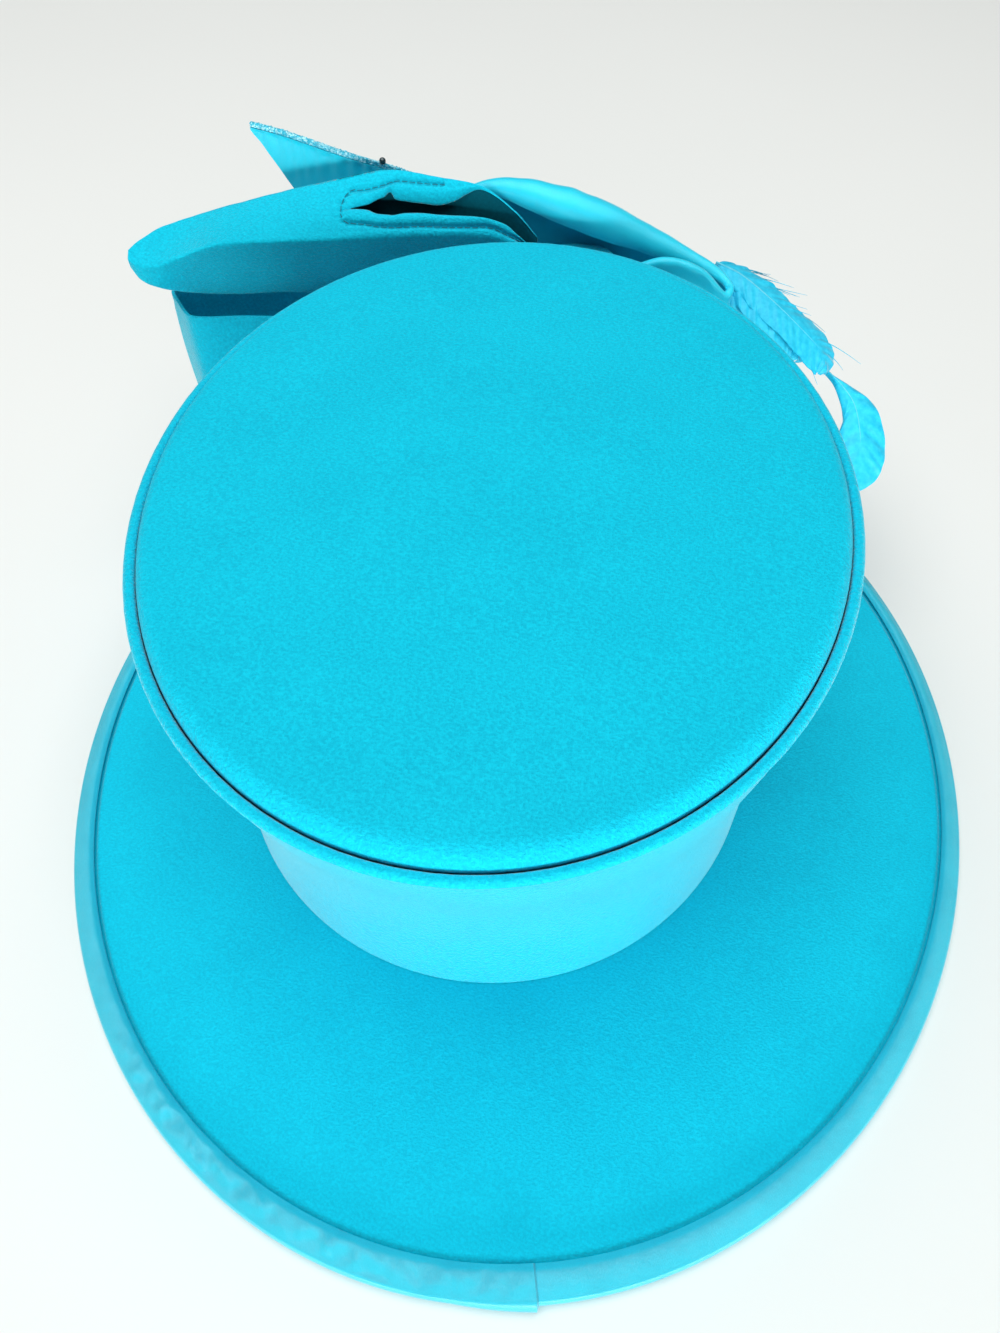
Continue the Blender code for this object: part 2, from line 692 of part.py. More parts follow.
def add_ball(name, centre, radius, look):
    """A small round piece with flat caps at its poles."""
    sides = 10
    rings = []
    for degrees in (-75, -45, -15, 15, 45, 75):
        tilt = math.radians(degrees)
        rings.append([
            centre + Vector((math.cos(a) * math.cos(tilt), math.sin(a) * math.cos(tilt), math.sin(tilt))) * radius
            for a in turns(sides)
        ])
    points, faces = skin(rings, closed_path=False)
    faces.append(tuple(range(sides)))
    faces.append(tuple(range(len(points) - sides, len(points))))
    return add_solid(name, points, faces, look)


def make_tail_bead(look):
    place, outward = trim_seat(BEAD_PLACE)
    return add_ball("tail_bead", place + outward * (TRIM_WIDTH + 2 * GAP + BEAD_RADIUS), BEAD_RADIUS, look)


def gather_place():
    """The middle of the gathered end, sewn to the sash's outside near its right-hand fold."""
    place, row = sash_place(0.62)
    inward, _ = sash_inward(0.62)
    top = CROWN_HEIGHT - SASH_BAND * row.top
    centre = place - inward * (GATHER_RADIUS + GAP - GATHER_SEAT)
    centre.z = top - GATHER_HEIGHT / 2
    return centre


def make_sash_gather(look):
    centre = gather_place()
    sides = 14
    rings = []
    for share, size in ((0, 0.55), (0.12, 0.85), (0.35, 1.0), (0.6, 0.92), (0.85, 0.75), (1, 0.45)):
        z = (share - 0.5) * GATHER_HEIGHT
        rings.append([
            centre + Vector((math.cos(a) * GATHER_RADIUS * size, math.sin(a) * GATHER_RADIUS * size, z))
            for a in turns(sides)
        ])
    points, faces = skin(rings, closed_path=False)
    faces.append(tuple(range(sides)))
    faces.append(tuple(range(len(points) - sides, len(points))))
    return add_solid("sash_gather", points, faces, look)


def make_feather(name, look, rows, reach, fall, width, start, spread):
    """A curved vane with a quill along its middle. spread: the direction across the vane."""
    sections = []
    for i in range(FEATHER_STEPS + 1):
        row = read(rows, i / FEATHER_STEPS)
        centre = start + Vector((reach * row.side, reach * row.forward, -fall * row.fall))
        behind = read(rows, max(row.along - 0.05, 0))
        ahead = read(rows, min(row.along + 0.05, 1))
        path = Vector((
            reach * (ahead.side - behind.side),
            reach * (ahead.forward - behind.forward),
            -fall * (ahead.fall - behind.fall),
        )).normalized()
        across = (spread - path * spread.dot(path)).normalized()
        normal = path.cross(across)
        half = width / 2 * row.width
        rib = normal * (FEATHER_THICKNESS / 2)
        edge = normal * (FEATHER_THICKNESS / 4)
        left, right = centre - across * half, centre + across * half
        sections.append([left - edge, centre - rib, right - edge, right + edge, centre + rib, left + edge])
    return strip_solid(name, sections, look)


def make_feathers(look):
    """Three feathers fan out of the gathered end, one above another, and a fourth hangs below them."""
    centre = gather_place()
    layers = (("feather_top", 0.0040, 0.1, 1.0), ("feather_middle", 0.0012, -0.1, 0.94),
              ("feather_low", -0.0016, -0.3, 0.86))
    for name, rise, fan, size in layers:
        away = Vector((math.cos(fan), math.sin(fan), 0))
        start = centre + away * (GATHER_RADIUS + 2 * GAP) + Vector((0, 0, rise))
        reach, fall = SPRAY_REACH * size, SPRAY_FALL * size
        make_feather(name, look, SPRAY_ROWS, reach, fall, FEATHER_WIDTH, start, Vector((0.35, 0.9, 0.2)))
    start = centre + Vector((GATHER_RADIUS + 2 * GAP, 0, -0.0055))
    make_feather("feather_hanging", look, HANGING_ROWS, HANGING_REACH, HANGING_FALL,
                 HANGING_FEATHER_WIDTH, start, Vector((1, -0.15, -0.25)))


def build():
    clear_scene()
    crepe = cloth("crepe", (0.02, 0.55, 0.68), 0.85)
    satin = cloth("satin", (0.03, 0.56, 0.74), 0.35)
    glitter = cloth("glitter", (0.35, 0.62, 0.74), 0.3)
    bead = cloth("bead", (0.03, 0.07, 0.08), 0.15)
    feather = cloth("feather", (0.01, 0.55, 0.86), 0.6)
    make_crown_side(crepe)
    make_crown_tip(crepe)
    make_brim(crepe)
    make_brim_binding(satin)
    make_bow_knot(crepe)
    make_upper_loop(crepe)
    make_lower_loop(crepe)
    make_satin_sash(satin)
    make_pointed_tail(satin)
    make_tail_trim(glitter)
    make_tail_bead(bead)
    make_sash_gather(satin)
    make_feathers(feather)


build()
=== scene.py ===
"""The looks of the dress derby hat: crepe crown and brim, satin tape and sash, glitter trim and feathers.

+Z is up, +Y is the hat's front with the bow, -Y is its back. Lengths are in metres.
"""
import math
import random
from collections import namedtuple

import bpy
import bmesh
from mathutils import Matrix, Vector, kdtree, noise


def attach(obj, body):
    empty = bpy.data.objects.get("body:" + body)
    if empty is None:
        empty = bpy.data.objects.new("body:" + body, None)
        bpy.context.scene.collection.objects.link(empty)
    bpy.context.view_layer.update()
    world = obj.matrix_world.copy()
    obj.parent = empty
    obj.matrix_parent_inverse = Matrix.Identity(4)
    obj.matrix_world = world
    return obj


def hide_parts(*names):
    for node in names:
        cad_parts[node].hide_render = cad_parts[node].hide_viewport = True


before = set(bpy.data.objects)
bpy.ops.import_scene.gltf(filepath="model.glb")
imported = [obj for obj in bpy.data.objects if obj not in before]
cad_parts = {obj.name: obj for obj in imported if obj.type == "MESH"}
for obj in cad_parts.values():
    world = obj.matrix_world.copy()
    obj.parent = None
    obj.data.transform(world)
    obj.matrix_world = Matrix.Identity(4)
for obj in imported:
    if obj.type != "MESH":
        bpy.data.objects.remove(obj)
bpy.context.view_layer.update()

# Camera and light.
# The hat is seen from behind and above, with a window's soft light at the camera's back and a pale room
# round it.
CAMERA_PLACE = Vector((0.0207, -0.2082, 0.3363))
CAMERA_VIEW = Vector((-0.0798, 0.5823, -0.8090)).normalized()
CAMERA_RIGHT = Vector((0.9907, 0.1357, 0.0)).normalized()


def add_object(name, data):
    """Puts a new camera, light, mesh or curve into the scene."""
    thing = bpy.data.objects.new(name, data)
    bpy.context.collection.objects.link(thing)
    return thing


camera_data = bpy.data.cameras.new("camera")
camera_data.lens = 27.0
camera_data.sensor_width = 36.0
camera_data.clip_start = 0.01
camera = add_object("camera", camera_data)
camera_up = CAMERA_RIGHT.cross(CAMERA_VIEW)
camera.matrix_world = Matrix.Translation(CAMERA_PLACE) @ Matrix((
    (CAMERA_RIGHT.x, camera_up.x, -CAMERA_VIEW.x),
    (CAMERA_RIGHT.y, camera_up.y, -CAMERA_VIEW.y),
    (CAMERA_RIGHT.z, camera_up.z, -CAMERA_VIEW.z),
)).to_4x4()
bpy.context.scene.camera = camera


def add_window(name, place, size, power, colour):
    """A soft rectangular light that faces the hat."""
    light = bpy.data.lights.new(name, "AREA")
    light.shape = "RECTANGLE"
    light.size, light.size_y = size
    light.energy = power
    light.color = colour
    window = add_object(name, light)
    window.location = place
    window.rotation_euler = (Vector((0, 0, 0.06)) - Vector(place)).to_track_quat("-Z", "Y").to_euler()


add_window("low_window", (0.45, -1.6, 0.13), (1.5, 0.26), 34, (1.0, 0.99, 0.97))
add_window("ceiling", (-0.2, 0.0, 1.9), (2.4, 2.4), 54, (0.98, 0.99, 1.0))

room = bpy.data.worlds.new("pale_room")
room.use_nodes = True
room.node_tree.nodes["Background"].inputs["Color"].default_value = (0.96, 0.98, 0.97, 1)
room.node_tree.nodes["Background"].inputs["Strength"].default_value = 0.11
bpy.context.scene.world = room
bpy.context.scene.view_settings.view_transform = "Standard"

# Crown wall.
# A stiff core, covered in crepe that flares towards the top and rolls over a cord there into a welt. It is
# glued down, so it lies smooth, with small pulls under the welt.
CROWN_HEIGHT = 0.1306
CROWN_FOOT = 0.0068
FOOT_WIDTH, FOOT_LENGTH = 0.1914, 0.204
TIP_WIDTH, TIP_LENGTH = 0.2038, 0.2472
CROWN_SET_LEFT = -0.009
FOOT_FORWARD, TIP_FORWARD = 0.001, 0.0064
WALL_THICKNESS = 0.0025
WELT_RADIUS = 0.0017
SEWING_GAP = 0.0003
WELT_HEIGHT = CROWN_HEIGHT - WELT_RADIUS
CREPE_COLOUR = (0.004, 0.60, 0.79)
CREPE_DEEP = (0.001, 0.36, 0.53)
SHARP_ANGLE = math.radians(50)
PULLS_LOW, PULLS_HIGH = WELT_HEIGHT - 0.010, WELT_HEIGHT - 0.002
PULL_DEPTH = 0.00012
WELT_TUCK = 0.0003
WALL_SLACK = 0.00035
WALL_INSET = 0.0004

FlareRow = namedtuple("FlareRow", "height flare")
CROWN_FLARE = (
    FlareRow(0.00, 0.00), FlareRow(0.14, 0.00), FlareRow(0.28, 0.04), FlareRow(0.42, 0.15),
    FlareRow(0.56, 0.32), FlareRow(0.70, 0.54), FlareRow(0.85, 0.78), FlareRow(1.00, 1.00),
)


def on_curve(start, end, leave, arrive, t):
    """A value on a smooth curve from start to end, with these slopes at its ends."""
    return (start * (2 * t ** 3 - 3 * t ** 2 + 1) + leave * (t ** 3 - 2 * t ** 2 + t)
            + end * (3 * t ** 2 - 2 * t ** 3) + arrive * (t ** 3 - t ** 2))


def between(table, at):
    """The values of a table at a place between its rows, on a smooth curve through them."""
    last = len(table) - 1
    at = min(max(at, table[0][0]), table[last][0])
    k = 0
    while k < last - 1 and table[k + 1][0] < at:
        k += 1
    before, here, there, after = table[max(k - 1, 0)], table[k], table[k + 1], table[min(k + 2, last)]
    step = there[0] - here[0]
    t = (at - here[0]) / step
    values = [at]
    for column in range(1, len(here)):
        slope_in = (there[column] - before[column]) / (there[0] - before[0]) * step
        slope_out = (after[column] - here[column]) / (after[0] - here[0]) * step
        values.append(on_curve(here[column], there[column], slope_in, slope_out, t))
    return type(table[0])(*values)


def ease(value, low, high):
    """0 below low, 1 above high, and a smooth rise between."""
    t = min(max((value - low) / (high - low), 0.0), 1.0)
    return t * t * (3 - 2 * t)


def ripple(place, size, seed=0):
    """Smooth noise from -1 to 1, with bumps of about this size."""
    return noise.noise(Vector(place) / size + Vector((seed * 17.3, seed * 5.1, seed * 9.7)))


def oval_point(angle, half_x, half_y, centre_y, inward, z):
    """A point on one of the crown's ovals, moved inward across it."""
    across = Vector((math.cos(angle) / half_x, math.sin(angle) / half_y, 0)).normalized()
    rim = Vector((CROWN_SET_LEFT + half_x * math.cos(angle), centre_y + half_y * math.sin(angle), z))
    return rim - across * inward


def crown_oval(z):
    share = min(max((z - CROWN_FOOT) / (WELT_HEIGHT - CROWN_FOOT), 0), 1)
    flare = between(CROWN_FLARE, share).flare
    rim = SEWING_GAP + 2 * WELT_RADIUS
    half_x = FOOT_WIDTH / 2 + (TIP_WIDTH / 2 + rim - FOOT_WIDTH / 2) * flare
    half_y = FOOT_LENGTH / 2 + (TIP_LENGTH / 2 + rim - FOOT_LENGTH / 2) * flare
    return half_x, half_y, FOOT_FORWARD + (TIP_FORWARD - FOOT_FORWARD) * share


def crown_front(x, z):
    half_x, half_y, centre_y = crown_oval(z)
    return centre_y + half_y * math.sqrt(1 - ((x - CROWN_SET_LEFT) / half_x) ** 2)


def cloth_body(name, sections, ring, look):
    """A closed cloth body through its sections. An open strip is closed across each end."""
    mesh = bpy.data.meshes.new(name)
    count = len(sections[0])
    points = [tuple(point) for section in sections for point in section]
    faces = []
    spans = len(sections) if ring else len(sections) - 1
    for i in range(spans):
        here, there = i * count, (i + 1) % len(sections) * count
        for j in range(count):
            k = (j + 1) % count
            faces.append((here + j, here + k, there + k, there + j))
    if not ring:
        last = (len(sections) - 1) * count
        for j in range(count // 2 - 1):
            back = count - 1 - j
            faces.append((j, back, back - 1, j + 1))
            faces.append((last + j, last + j + 1, last + back - 1, last + back))
    mesh.from_pydata(points, [], faces)
    work = bmesh.new()
    work.from_mesh(mesh)
    bmesh.ops.recalc_face_normals(work, faces=work.faces)
    if work.calc_volume(signed=True) < 0:
        bmesh.ops.reverse_faces(work, faces=work.faces)
    work.to_mesh(mesh)
    work.free()
    mesh.shade_smooth()
    mesh.set_sharp_from_angle(angle=SHARP_ANGLE)
    mesh.materials.append(look)
    return add_object(name, mesh)


class Signal:
    """A number that varies over a surface. Arithmetic on it adds Math nodes."""

    def __init__(self, finish, socket):
        self.finish = finish
        self.socket = socket

    def math(self, operation, *values):
        return self.finish.node("ShaderNodeMath", {"operation": operation}, *values)

    def __add__(self, other):
        return self.math("ADD", self, other)

    def __mul__(self, other):
        return self.math("MULTIPLY", self, other)


class Finish:
    """One procedural material."""

    def __init__(self, name, **constants):
        self.material = bpy.data.materials.new(name)
        self.material.use_nodes = True
        self.tree = self.material.node_tree
        self.shader = self.tree.nodes["Principled BSDF"]
        for socket, value in constants.items():
            self.shader.inputs[socket.replace("_", " ")].default_value = value

    def plug(self, socket, value):
        if isinstance(value, Signal):
            self.tree.links.new(value.socket, socket)
        else:
            socket.default_value = value

    def node(self, kind, settings, *values, out=0, **named):
        """Adds a node: its settings first, then its sockets by place or by name."""
        node = self.tree.nodes.new(kind)
        for setting, value in settings.items():
            setattr(node, setting, value)
        for place, value in enumerate(values):
            self.plug(node.inputs[place], value)
        for socket, value in named.items():
            self.plug(node.inputs[socket.replace("_", " ")], value)
        return Signal(self, node.outputs[out])

    def place(self, scale=(1, 1, 1), turn=(0, 0, 0)):
        """Places on the piece, stretched and turned for a pattern."""
        here = self.node("ShaderNodeTexCoord", {}, out=3)
        return self.node("ShaderNodeMapping", {}, Vector=here, Scale=scale, Rotation=turn)

    def clouds(self, size, detail=3.0, roughness=0.55, stretch=(1, 1, 1), turn=(0, 0, 0)):
        """Noise from 0 to 1 with bumps of about this size."""
        return self.node("ShaderNodeTexNoise", {}, Vector=self.place(stretch, turn), Scale=1 / size,
                         Detail=detail, Roughness=roughness)

    def mix(self, share, first, second):
        node = self.tree.nodes.new("ShaderNodeMix")
        node.data_type = "RGBA"
        self.plug(node.inputs[0], share)
        for place, colour in ((6, first), (7, second)):
            self.plug(node.inputs[place], colour if isinstance(colour, Signal) else (*colour, 1.0))
        return Signal(self, node.outputs[2])

    def spread(self, value, low, high):
        """Stretches the part of a signal between low and high over 0 to 1."""
        return self.node("ShaderNodeMapRange", {}, Value=value, From_Min=low, From_Max=high)

    def colour(self, value):
        self.plug(self.shader.inputs["Base Color"], value)

    def roughness(self, value):
        self.plug(self.shader.inputs["Roughness"], value)

    def relief(self, height, depth, strength=1.0):
        bump = self.node("ShaderNodeBump", {}, Height=height, Distance=depth, Strength=strength)
        self.plug(self.shader.inputs["Normal"], bump)


def make_crepe(name, grain_depth, pit_shade_amount, mottle, sheen):
    """Crepe: a pebbly grain of short twisted threads, a little stretched along the bias. Its pits are
    darkened as painted shade.
    """
    finish = Finish(name, Specular_IOR_Level=0.08, Sheen_Weight=sheen, Sheen_Roughness=0.34,
                    Sheen_Tint=(0.80, 1.0, 0.97, 1.0))
    pebbles = finish.clouds(0.0011, 2.0, 0.6, (1.0, 1.55, 1.0), (0, 0, math.radians(28)))
    threads = finish.clouds(0.0005, 2.0, 0.5, (1.6, 0.55, 1.0), (0, 0, math.radians(-12)))
    broad = finish.clouds(0.028, 3.0, 0.5)
    grain = pebbles * 0.7 + threads * 0.3
    # Painted shade: the grain's low pits are darkened towards CREPE_DEEP. The broad mottle is the cloth's own
    # uneven tone.
    pit_shade = finish.spread(grain, 0.62, 0.40)
    shade = pit_shade * pit_shade_amount + finish.spread(broad, 0.35, 0.65) * mottle
    finish.colour(finish.mix(shade, CREPE_COLOUR, CREPE_DEEP))
    finish.roughness(pebbles * 0.16 + 0.66)
    finish.relief(grain, grain_depth)
    return finish.material


crepe = make_crepe("crepe", 0.0007, 0.50, 0.10, 0.45)


def make_crown_wall():
    steps, levels, roll_steps = 288, 30, 22
    sections = []
    for i in range(steps):
        angle = 2 * math.pi * i / steps
        pull = ripple((math.cos(angle) * 5, math.sin(angle) * 5, 0), 0.09) + 0.4 * math.sin(angle * 90)
        section = []
        for level in range(levels):
            z = CROWN_FOOT + (WELT_HEIGHT - CROWN_FOOT) * level / (levels - 1)
            half_x, half_y, centre_y = crown_oval(z)
            near_welt = ease(z, PULLS_LOW, PULLS_HIGH) * (1 - ease(z, PULLS_HIGH, WELT_HEIGHT))
            dent = PULL_DEPTH * pull * near_welt + WELT_TUCK * near_welt
            slack = WALL_SLACK * ripple((math.cos(angle), math.sin(angle), z * 12), 0.35, 2)
            slack *= math.sin(math.pi * level / (levels - 1))
            section.append(oval_point(angle, half_x, half_y, centre_y, dent + slack + WALL_INSET, z))
        half_x, half_y, centre_y = crown_oval(WELT_HEIGHT)
        radius = WELT_RADIUS * (1 + 0.03 * pull)
        for j in range(1, roll_steps + 1):
            roll = 1.5 * math.pi * j / roll_steps
            inward = WELT_RADIUS - radius * math.cos(roll)
            z = WELT_HEIGHT + radius * math.sin(roll)
            section.append(oval_point(angle, half_x, half_y, centre_y, inward, z))
        for level in reversed(range(0, levels - 1, 3)):
            z = CROWN_FOOT + (WELT_HEIGHT - CROWN_FOOT) * level / (levels - 1)
            half_x, half_y, centre_y = crown_oval(z)
            section.append(oval_point(angle, half_x, half_y, centre_y, WALL_THICKNESS, z))
        sections.append(section)
    return cloth_body("crown_wall", sections, True, crepe)


crown_wall = make_crown_wall()
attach(crown_wall, "root")
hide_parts("crown_side")

# Crown tip.
# An oval of crepe over thin wadding, drawn down into the groove inside the welt, which gathers its edge
# into tiny radial pulls.
TIP_THICKNESS = 0.003
TIP_RISE = 0.0036
TIP_DOME = 0.002
TIP_ROUNDING = 0.005
PULLS_ROUND = 118
EDGE_FALL = 0.0048
GATHER_DEPTH = 0.00009
WADDING_WAVES = 0.00035
DRAG_LINES = 0.00016
DRAG_SPACING = 0.0065

tip_crepe = make_crepe("tip_crepe", 0.0007, 0.50, 0.10, 0.12)


def make_crown_pad():
    steps, rings = 354, 46
    reach = 2 * TIP_ROUNDING / TIP_WIDTH
    shoulder = CROWN_HEIGHT + TIP_RISE - 0.0002

    def pad_point(angle, size, top):
        x = CROWN_SET_LEFT + TIP_WIDTH / 2 * size * math.cos(angle)
        y = TIP_FORWARD + TIP_LENGTH / 2 * size * math.sin(angle)
        if not top:
            return Vector((x, y, shoulder - TIP_THICKNESS + TIP_DOME * (1 - size ** 2)))
        to_edge = max((size - (1 - reach)) / reach, 0)
        z = shoulder + TIP_DOME * (1 - size ** 2) - EDGE_FALL * (1 - math.sqrt(max(1 - to_edge ** 2.4, 0)))
        edge = ease(size, 0.90, 0.985)
        pull = 0.7 * math.sin(angle * PULLS_ROUND + 2.2 * ripple((angle * 3, 1, 0), 1.0))
        pull += ripple((angle * 40, 0, 0), 1.0)
        pull *= 0.6 + 0.4 * ripple((angle * 6, 4, 0), 1.0)
        z += GATHER_DEPTH * edge * pull
        z += WADDING_WAVES * ripple((x, y, 0), 0.045, 3) * (1 - ease(size, 0.85, 1.0))
        wave = math.sin((x * 0.55 + y * 0.85) / DRAG_SPACING)
        z += DRAG_LINES * wave * ease(x, 0.02, 0.07) * ease(y, -0.01, 0.04) * (1 - ease(size, 0.85, 0.97))
        return Vector((x, y, z))

    mesh = bpy.data.meshes.new("crown_pad")
    sizes = [1 - (1 - i / rings) ** 1.7 * 0.98 for i in range(rings + 1)]
    under = list(reversed(sizes[::5]))
    points = [pad_point(0, 0, True), pad_point(0, 0, False)]
    loops = [(size, True) for size in sizes] + [(min(size, 1 - reach / 2), False) for size in under]
    for size, top in loops:
        points += [pad_point(2 * math.pi * j / steps, size, top) for j in range(steps)]
    faces = []
    for j in range(steps):
        k = (j + 1) % steps
        faces.append((0, 2 + j, 2 + k))
        for i in range(len(loops) - 1):
            here = 2 + i * steps
            faces.append((here + j, here + steps + j, here + steps + k, here + k))
        inner = 2 + (len(loops) - 1) * steps
        faces.append((inner + j, 1, inner + k))
    mesh.from_pydata([tuple(point) for point in points], [], faces)
    mesh.shade_smooth()
    mesh.materials.append(tip_crepe)
    return add_object("crown_pad", mesh)


crown_pad = make_crown_pad()
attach(crown_pad, "root")
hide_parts("crown_tip")

# Brim.
# A flat stiff oval covered on both faces in the same crepe, pulled tight, so its grain looks finer and
# mottled. The crown's wall stands on it.
BRIM_WIDTH, BRIM_LENGTH = 0.3325, 0.380
BRIM_THICKNESS = 0.0022
BRIM_RISE = 0.003
TAPE = 0.001
BRIM_EDGE_HEIGHT = TAPE + SEWING_GAP + BRIM_THICKNESS / 2
COVER_FRONT, COVER_BACK = 0.0043, 0.009
SEAM_DENT = 0.0013
SEAM_DENT_WIDTH = 0.0011
NEAR_SEAM = 0.0035
BRIM_SLACK = 0.0003

brim_crepe = make_crepe("brim_crepe", 0.00040, 0.38, 0.12, 0.60)


def brim_point(angle, share, up, out=0.0):
    """Share 0 is at the crown's inside, 1 at the brim's edge, then out beyond it."""
    half_x, half_y, centre_y = crown_oval(CROWN_FOOT)
    inner = oval_point(angle, half_x, half_y, centre_y, WALL_THICKNESS, 0)
    edge_x, edge_y = BRIM_WIDTH / 2 - TAPE - SEWING_GAP, BRIM_LENGTH / 2 - TAPE - SEWING_GAP
    across = Vector((math.cos(angle) / edge_x, math.sin(angle) / edge_y, 0)).normalized()
    outer = Vector((edge_x * math.cos(angle), edge_y * math.sin(angle), 0)) + across * out
    place = inner.lerp(outer, share)
    place.z = BRIM_EDGE_HEIGHT + BRIM_RISE * (1 - share ** 2) + up
    return place


def seam_share(angle):
    """Where the tape's inner edge is sewn down, and the brim's width there."""
    cover = COVER_FRONT + (COVER_BACK - COVER_FRONT) * ((1 - math.sin(angle)) / 2) ** 2.5
    width = (brim_point(angle, 1, 0) - brim_point(angle, 0, 0)).length
    return 1 - cover / width, width


def make_brim_cloth():
    steps = 288
    sections = []
    for i in range(steps):
        angle = 2 * math.pi * i / steps
        seam, width = seam_share(angle)
        near_seam = seam - NEAR_SEAM / width
        shares = [near_seam * j / 16 for j in range(16)]
        shares += [near_seam + (seam - near_seam) * j / 12 for j in range(13)] + [(seam + 1) / 2, 1]
        top = []
        for share in shares:
            point = brim_point(angle, share, BRIM_THICKNESS / 2)
            point.z += BRIM_SLACK * ripple(point, 0.05, 6) * math.sin(math.pi * share)
            point.z -= SEAM_DENT * math.exp(-((share - seam) * width / SEAM_DENT_WIDTH) ** 2)
            top.append(point)
        under = [brim_point(angle, share, -BRIM_THICKNESS / 2) for share in (1, 0.8, 0.6, 0.4, 0.2, 0)]
        sections.append(top + under)
    return cloth_body("brim_cloth", sections, True, brim_crepe)


brim_cloth = make_brim_cloth()
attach(brim_cloth, "root")
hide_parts("brim")

# Brim tape.
# A satin tape folded over the brim's edge and sewn through along its inner edge. It is eased round the
# curve, which wrinkles it at the back left, and its end laps over its start at the back.
JOIN_ANGLE = math.radians(-80)
LAP_LENGTH = 0.028
LAP_RISE = 0.0015
TAPE_PUFF = 0.0009
WRINKLE_FAINT, WRINKLE_STRONG = 0.00022, 0.0013
SATIN_COLOUR = (0.012, 0.74, 0.94)
SATIN_DEEP = (0.004, 0.42, 0.64)


def make_satin(name, light, deep, gloss):
    """Satin: a smooth face with very fine cross threads and soft cloudy sheen."""
    finish = Finish(name, Specular_IOR_Level=0.55, Sheen_Weight=0.25, Sheen_Roughness=0.35)
    threads = finish.clouds(0.00028, 1.0, 0.4, (3.0, 0.5, 1.0), (0, 0, math.radians(20)))
    broad = finish.clouds(0.012, 3.0, 0.55)
    shade = finish.spread(threads, 0.65, 0.35) * 0.22 + finish.spread(broad, 0.4, 0.7) * 0.16
    finish.colour(finish.mix(shade, light, deep))
    finish.roughness(broad * 0.12 + gloss)
    finish.relief(threads, 0.00012)
    return finish.material


satin = make_satin("satin", SATIN_COLOUR, SATIN_DEEP, 0.27)
tape_satin = make_satin("tape_satin", (0.030, 0.55, 0.70), (0.004, 0.30, 0.43), 0.25)


def tape_wrinkle(angle, across):
    """Height of the tape's wrinkles: strong at the back left, faint elsewhere."""
    x = math.cos(angle)
    back_left = ease(-math.sin(angle), 0.50, 0.85) * ease(-x, -0.22, -0.05) * (1 - ease(-x, 0.66, 0.88))
    length = angle * 0.178
    folds = ripple((length + 0.004 * across, across * 0.006, 0), 0.0060, 4)
    creases = ripple((length - 0.003 * across, across * 0.004, 0), 0.0017, 5)
    height = (WRINKLE_FAINT + WRINKLE_STRONG * back_left) * (folds + 0.4 * creases)
    return height * math.sin(math.pi * min(max(across, 0.05), 1))


def make_brim_tape():
    steps = 900
    inside = BRIM_THICKNESS / 2 + SEWING_GAP
    sections = []
    for i in range(steps + 1):
        angle = JOIN_ANGLE + (2 * math.pi - 0.004) * i / steps
        to_end = 2 * math.pi - 0.004 - (angle - JOIN_ANGLE)
        lap = LAP_RISE * max(1 - to_end / (LAP_LENGTH / (BRIM_LENGTH / 2)), 0)
        inner_end = seam_share(angle)[0]
        section = []
        for j in range(19):
            across = j / 18
            seam = math.exp(-(across / 0.13) ** 2)
            puff = TAPE_PUFF * math.sin(math.pi * across ** 0.8)
            up = inside + TAPE * (1 - 0.8 * seam) + puff + lap + tape_wrinkle(angle, across)
            section.append(brim_point(angle, inner_end + (1 - inner_end) * across, up))
        for fold in range(15, 180, 15):
            roll = math.radians(fold)
            out = (SEWING_GAP + TAPE + lap) * math.sin(roll)
            up = (inside + TAPE) * math.cos(roll) + lap * max(math.cos(roll), 0)
            section.append(brim_point(angle, 1, up, out))
        for j in range(4):
            section.append(brim_point(angle, 1 + (inner_end - 1) * j / 3, -inside - TAPE))
        section += [brim_point(angle, share, -inside) for share in (inner_end, 1)]
        section += [brim_point(angle, 1, up, SEWING_GAP) for up in (-inside / 2, inside / 2)]
        section += [brim_point(angle, share, inside) for share in (1, inner_end)]
        sections.append(section)
    return cloth_body("brim_tape", sections, True, tape_satin)


brim_tape = make_brim_tape()
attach(brim_tape, "root")
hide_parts("brim_binding")

# Lower bow loop.
# A band of crepe, hemmed top and bottom, folded into a loop that stands on edge, with both ends sewn into
# the knot.
KNOT_X = 0.004
KNOT_WIDTH = 0.034
KNOT_DEPTH = 0.0365
KNOT_HEIGHT = 0.055
KNOT_DROP = 0.011
LOOP_WALL = 0.0015
LOWER_SPAN = 0.1475
LOWER_DEPTH = 0.034
LOWER_BAND = 0.050
LOWER_DROP = 0.033
HEM_WIDTH = 0.0034
BOW_SIDE = KNOT_X - KNOT_WIDTH / 2 - SEWING_GAP
BOW_BACK = crown_front(KNOT_X, WELT_HEIGHT)

BandRow = namedtuple("BandRow", "turn along forward")
LOWER_BAND_ROWS = (
    BandRow(0.00, 0.00, 0.17), BandRow(0.08, 0.12, 0.08), BandRow(0.21, 0.46, -0.18),
    BandRow(0.34, 0.76, -0.40), BandRow(0.40, 0.875, -0.49), BandRow(0.43, 0.92, -0.47),
    BandRow(0.48, 0.97, -0.22), BandRow(0.52, 1.00, -0.02), BandRow(0.55, 0.985, 0.12),
    BandRow(0.61, 0.86, 0.32), BandRow(0.73, 0.58, 0.54), BandRow(0.87, 0.24, 0.55),
    BandRow(0.94, 0.08, 0.40), BandRow(1.00, 0.00, 0.27),
)


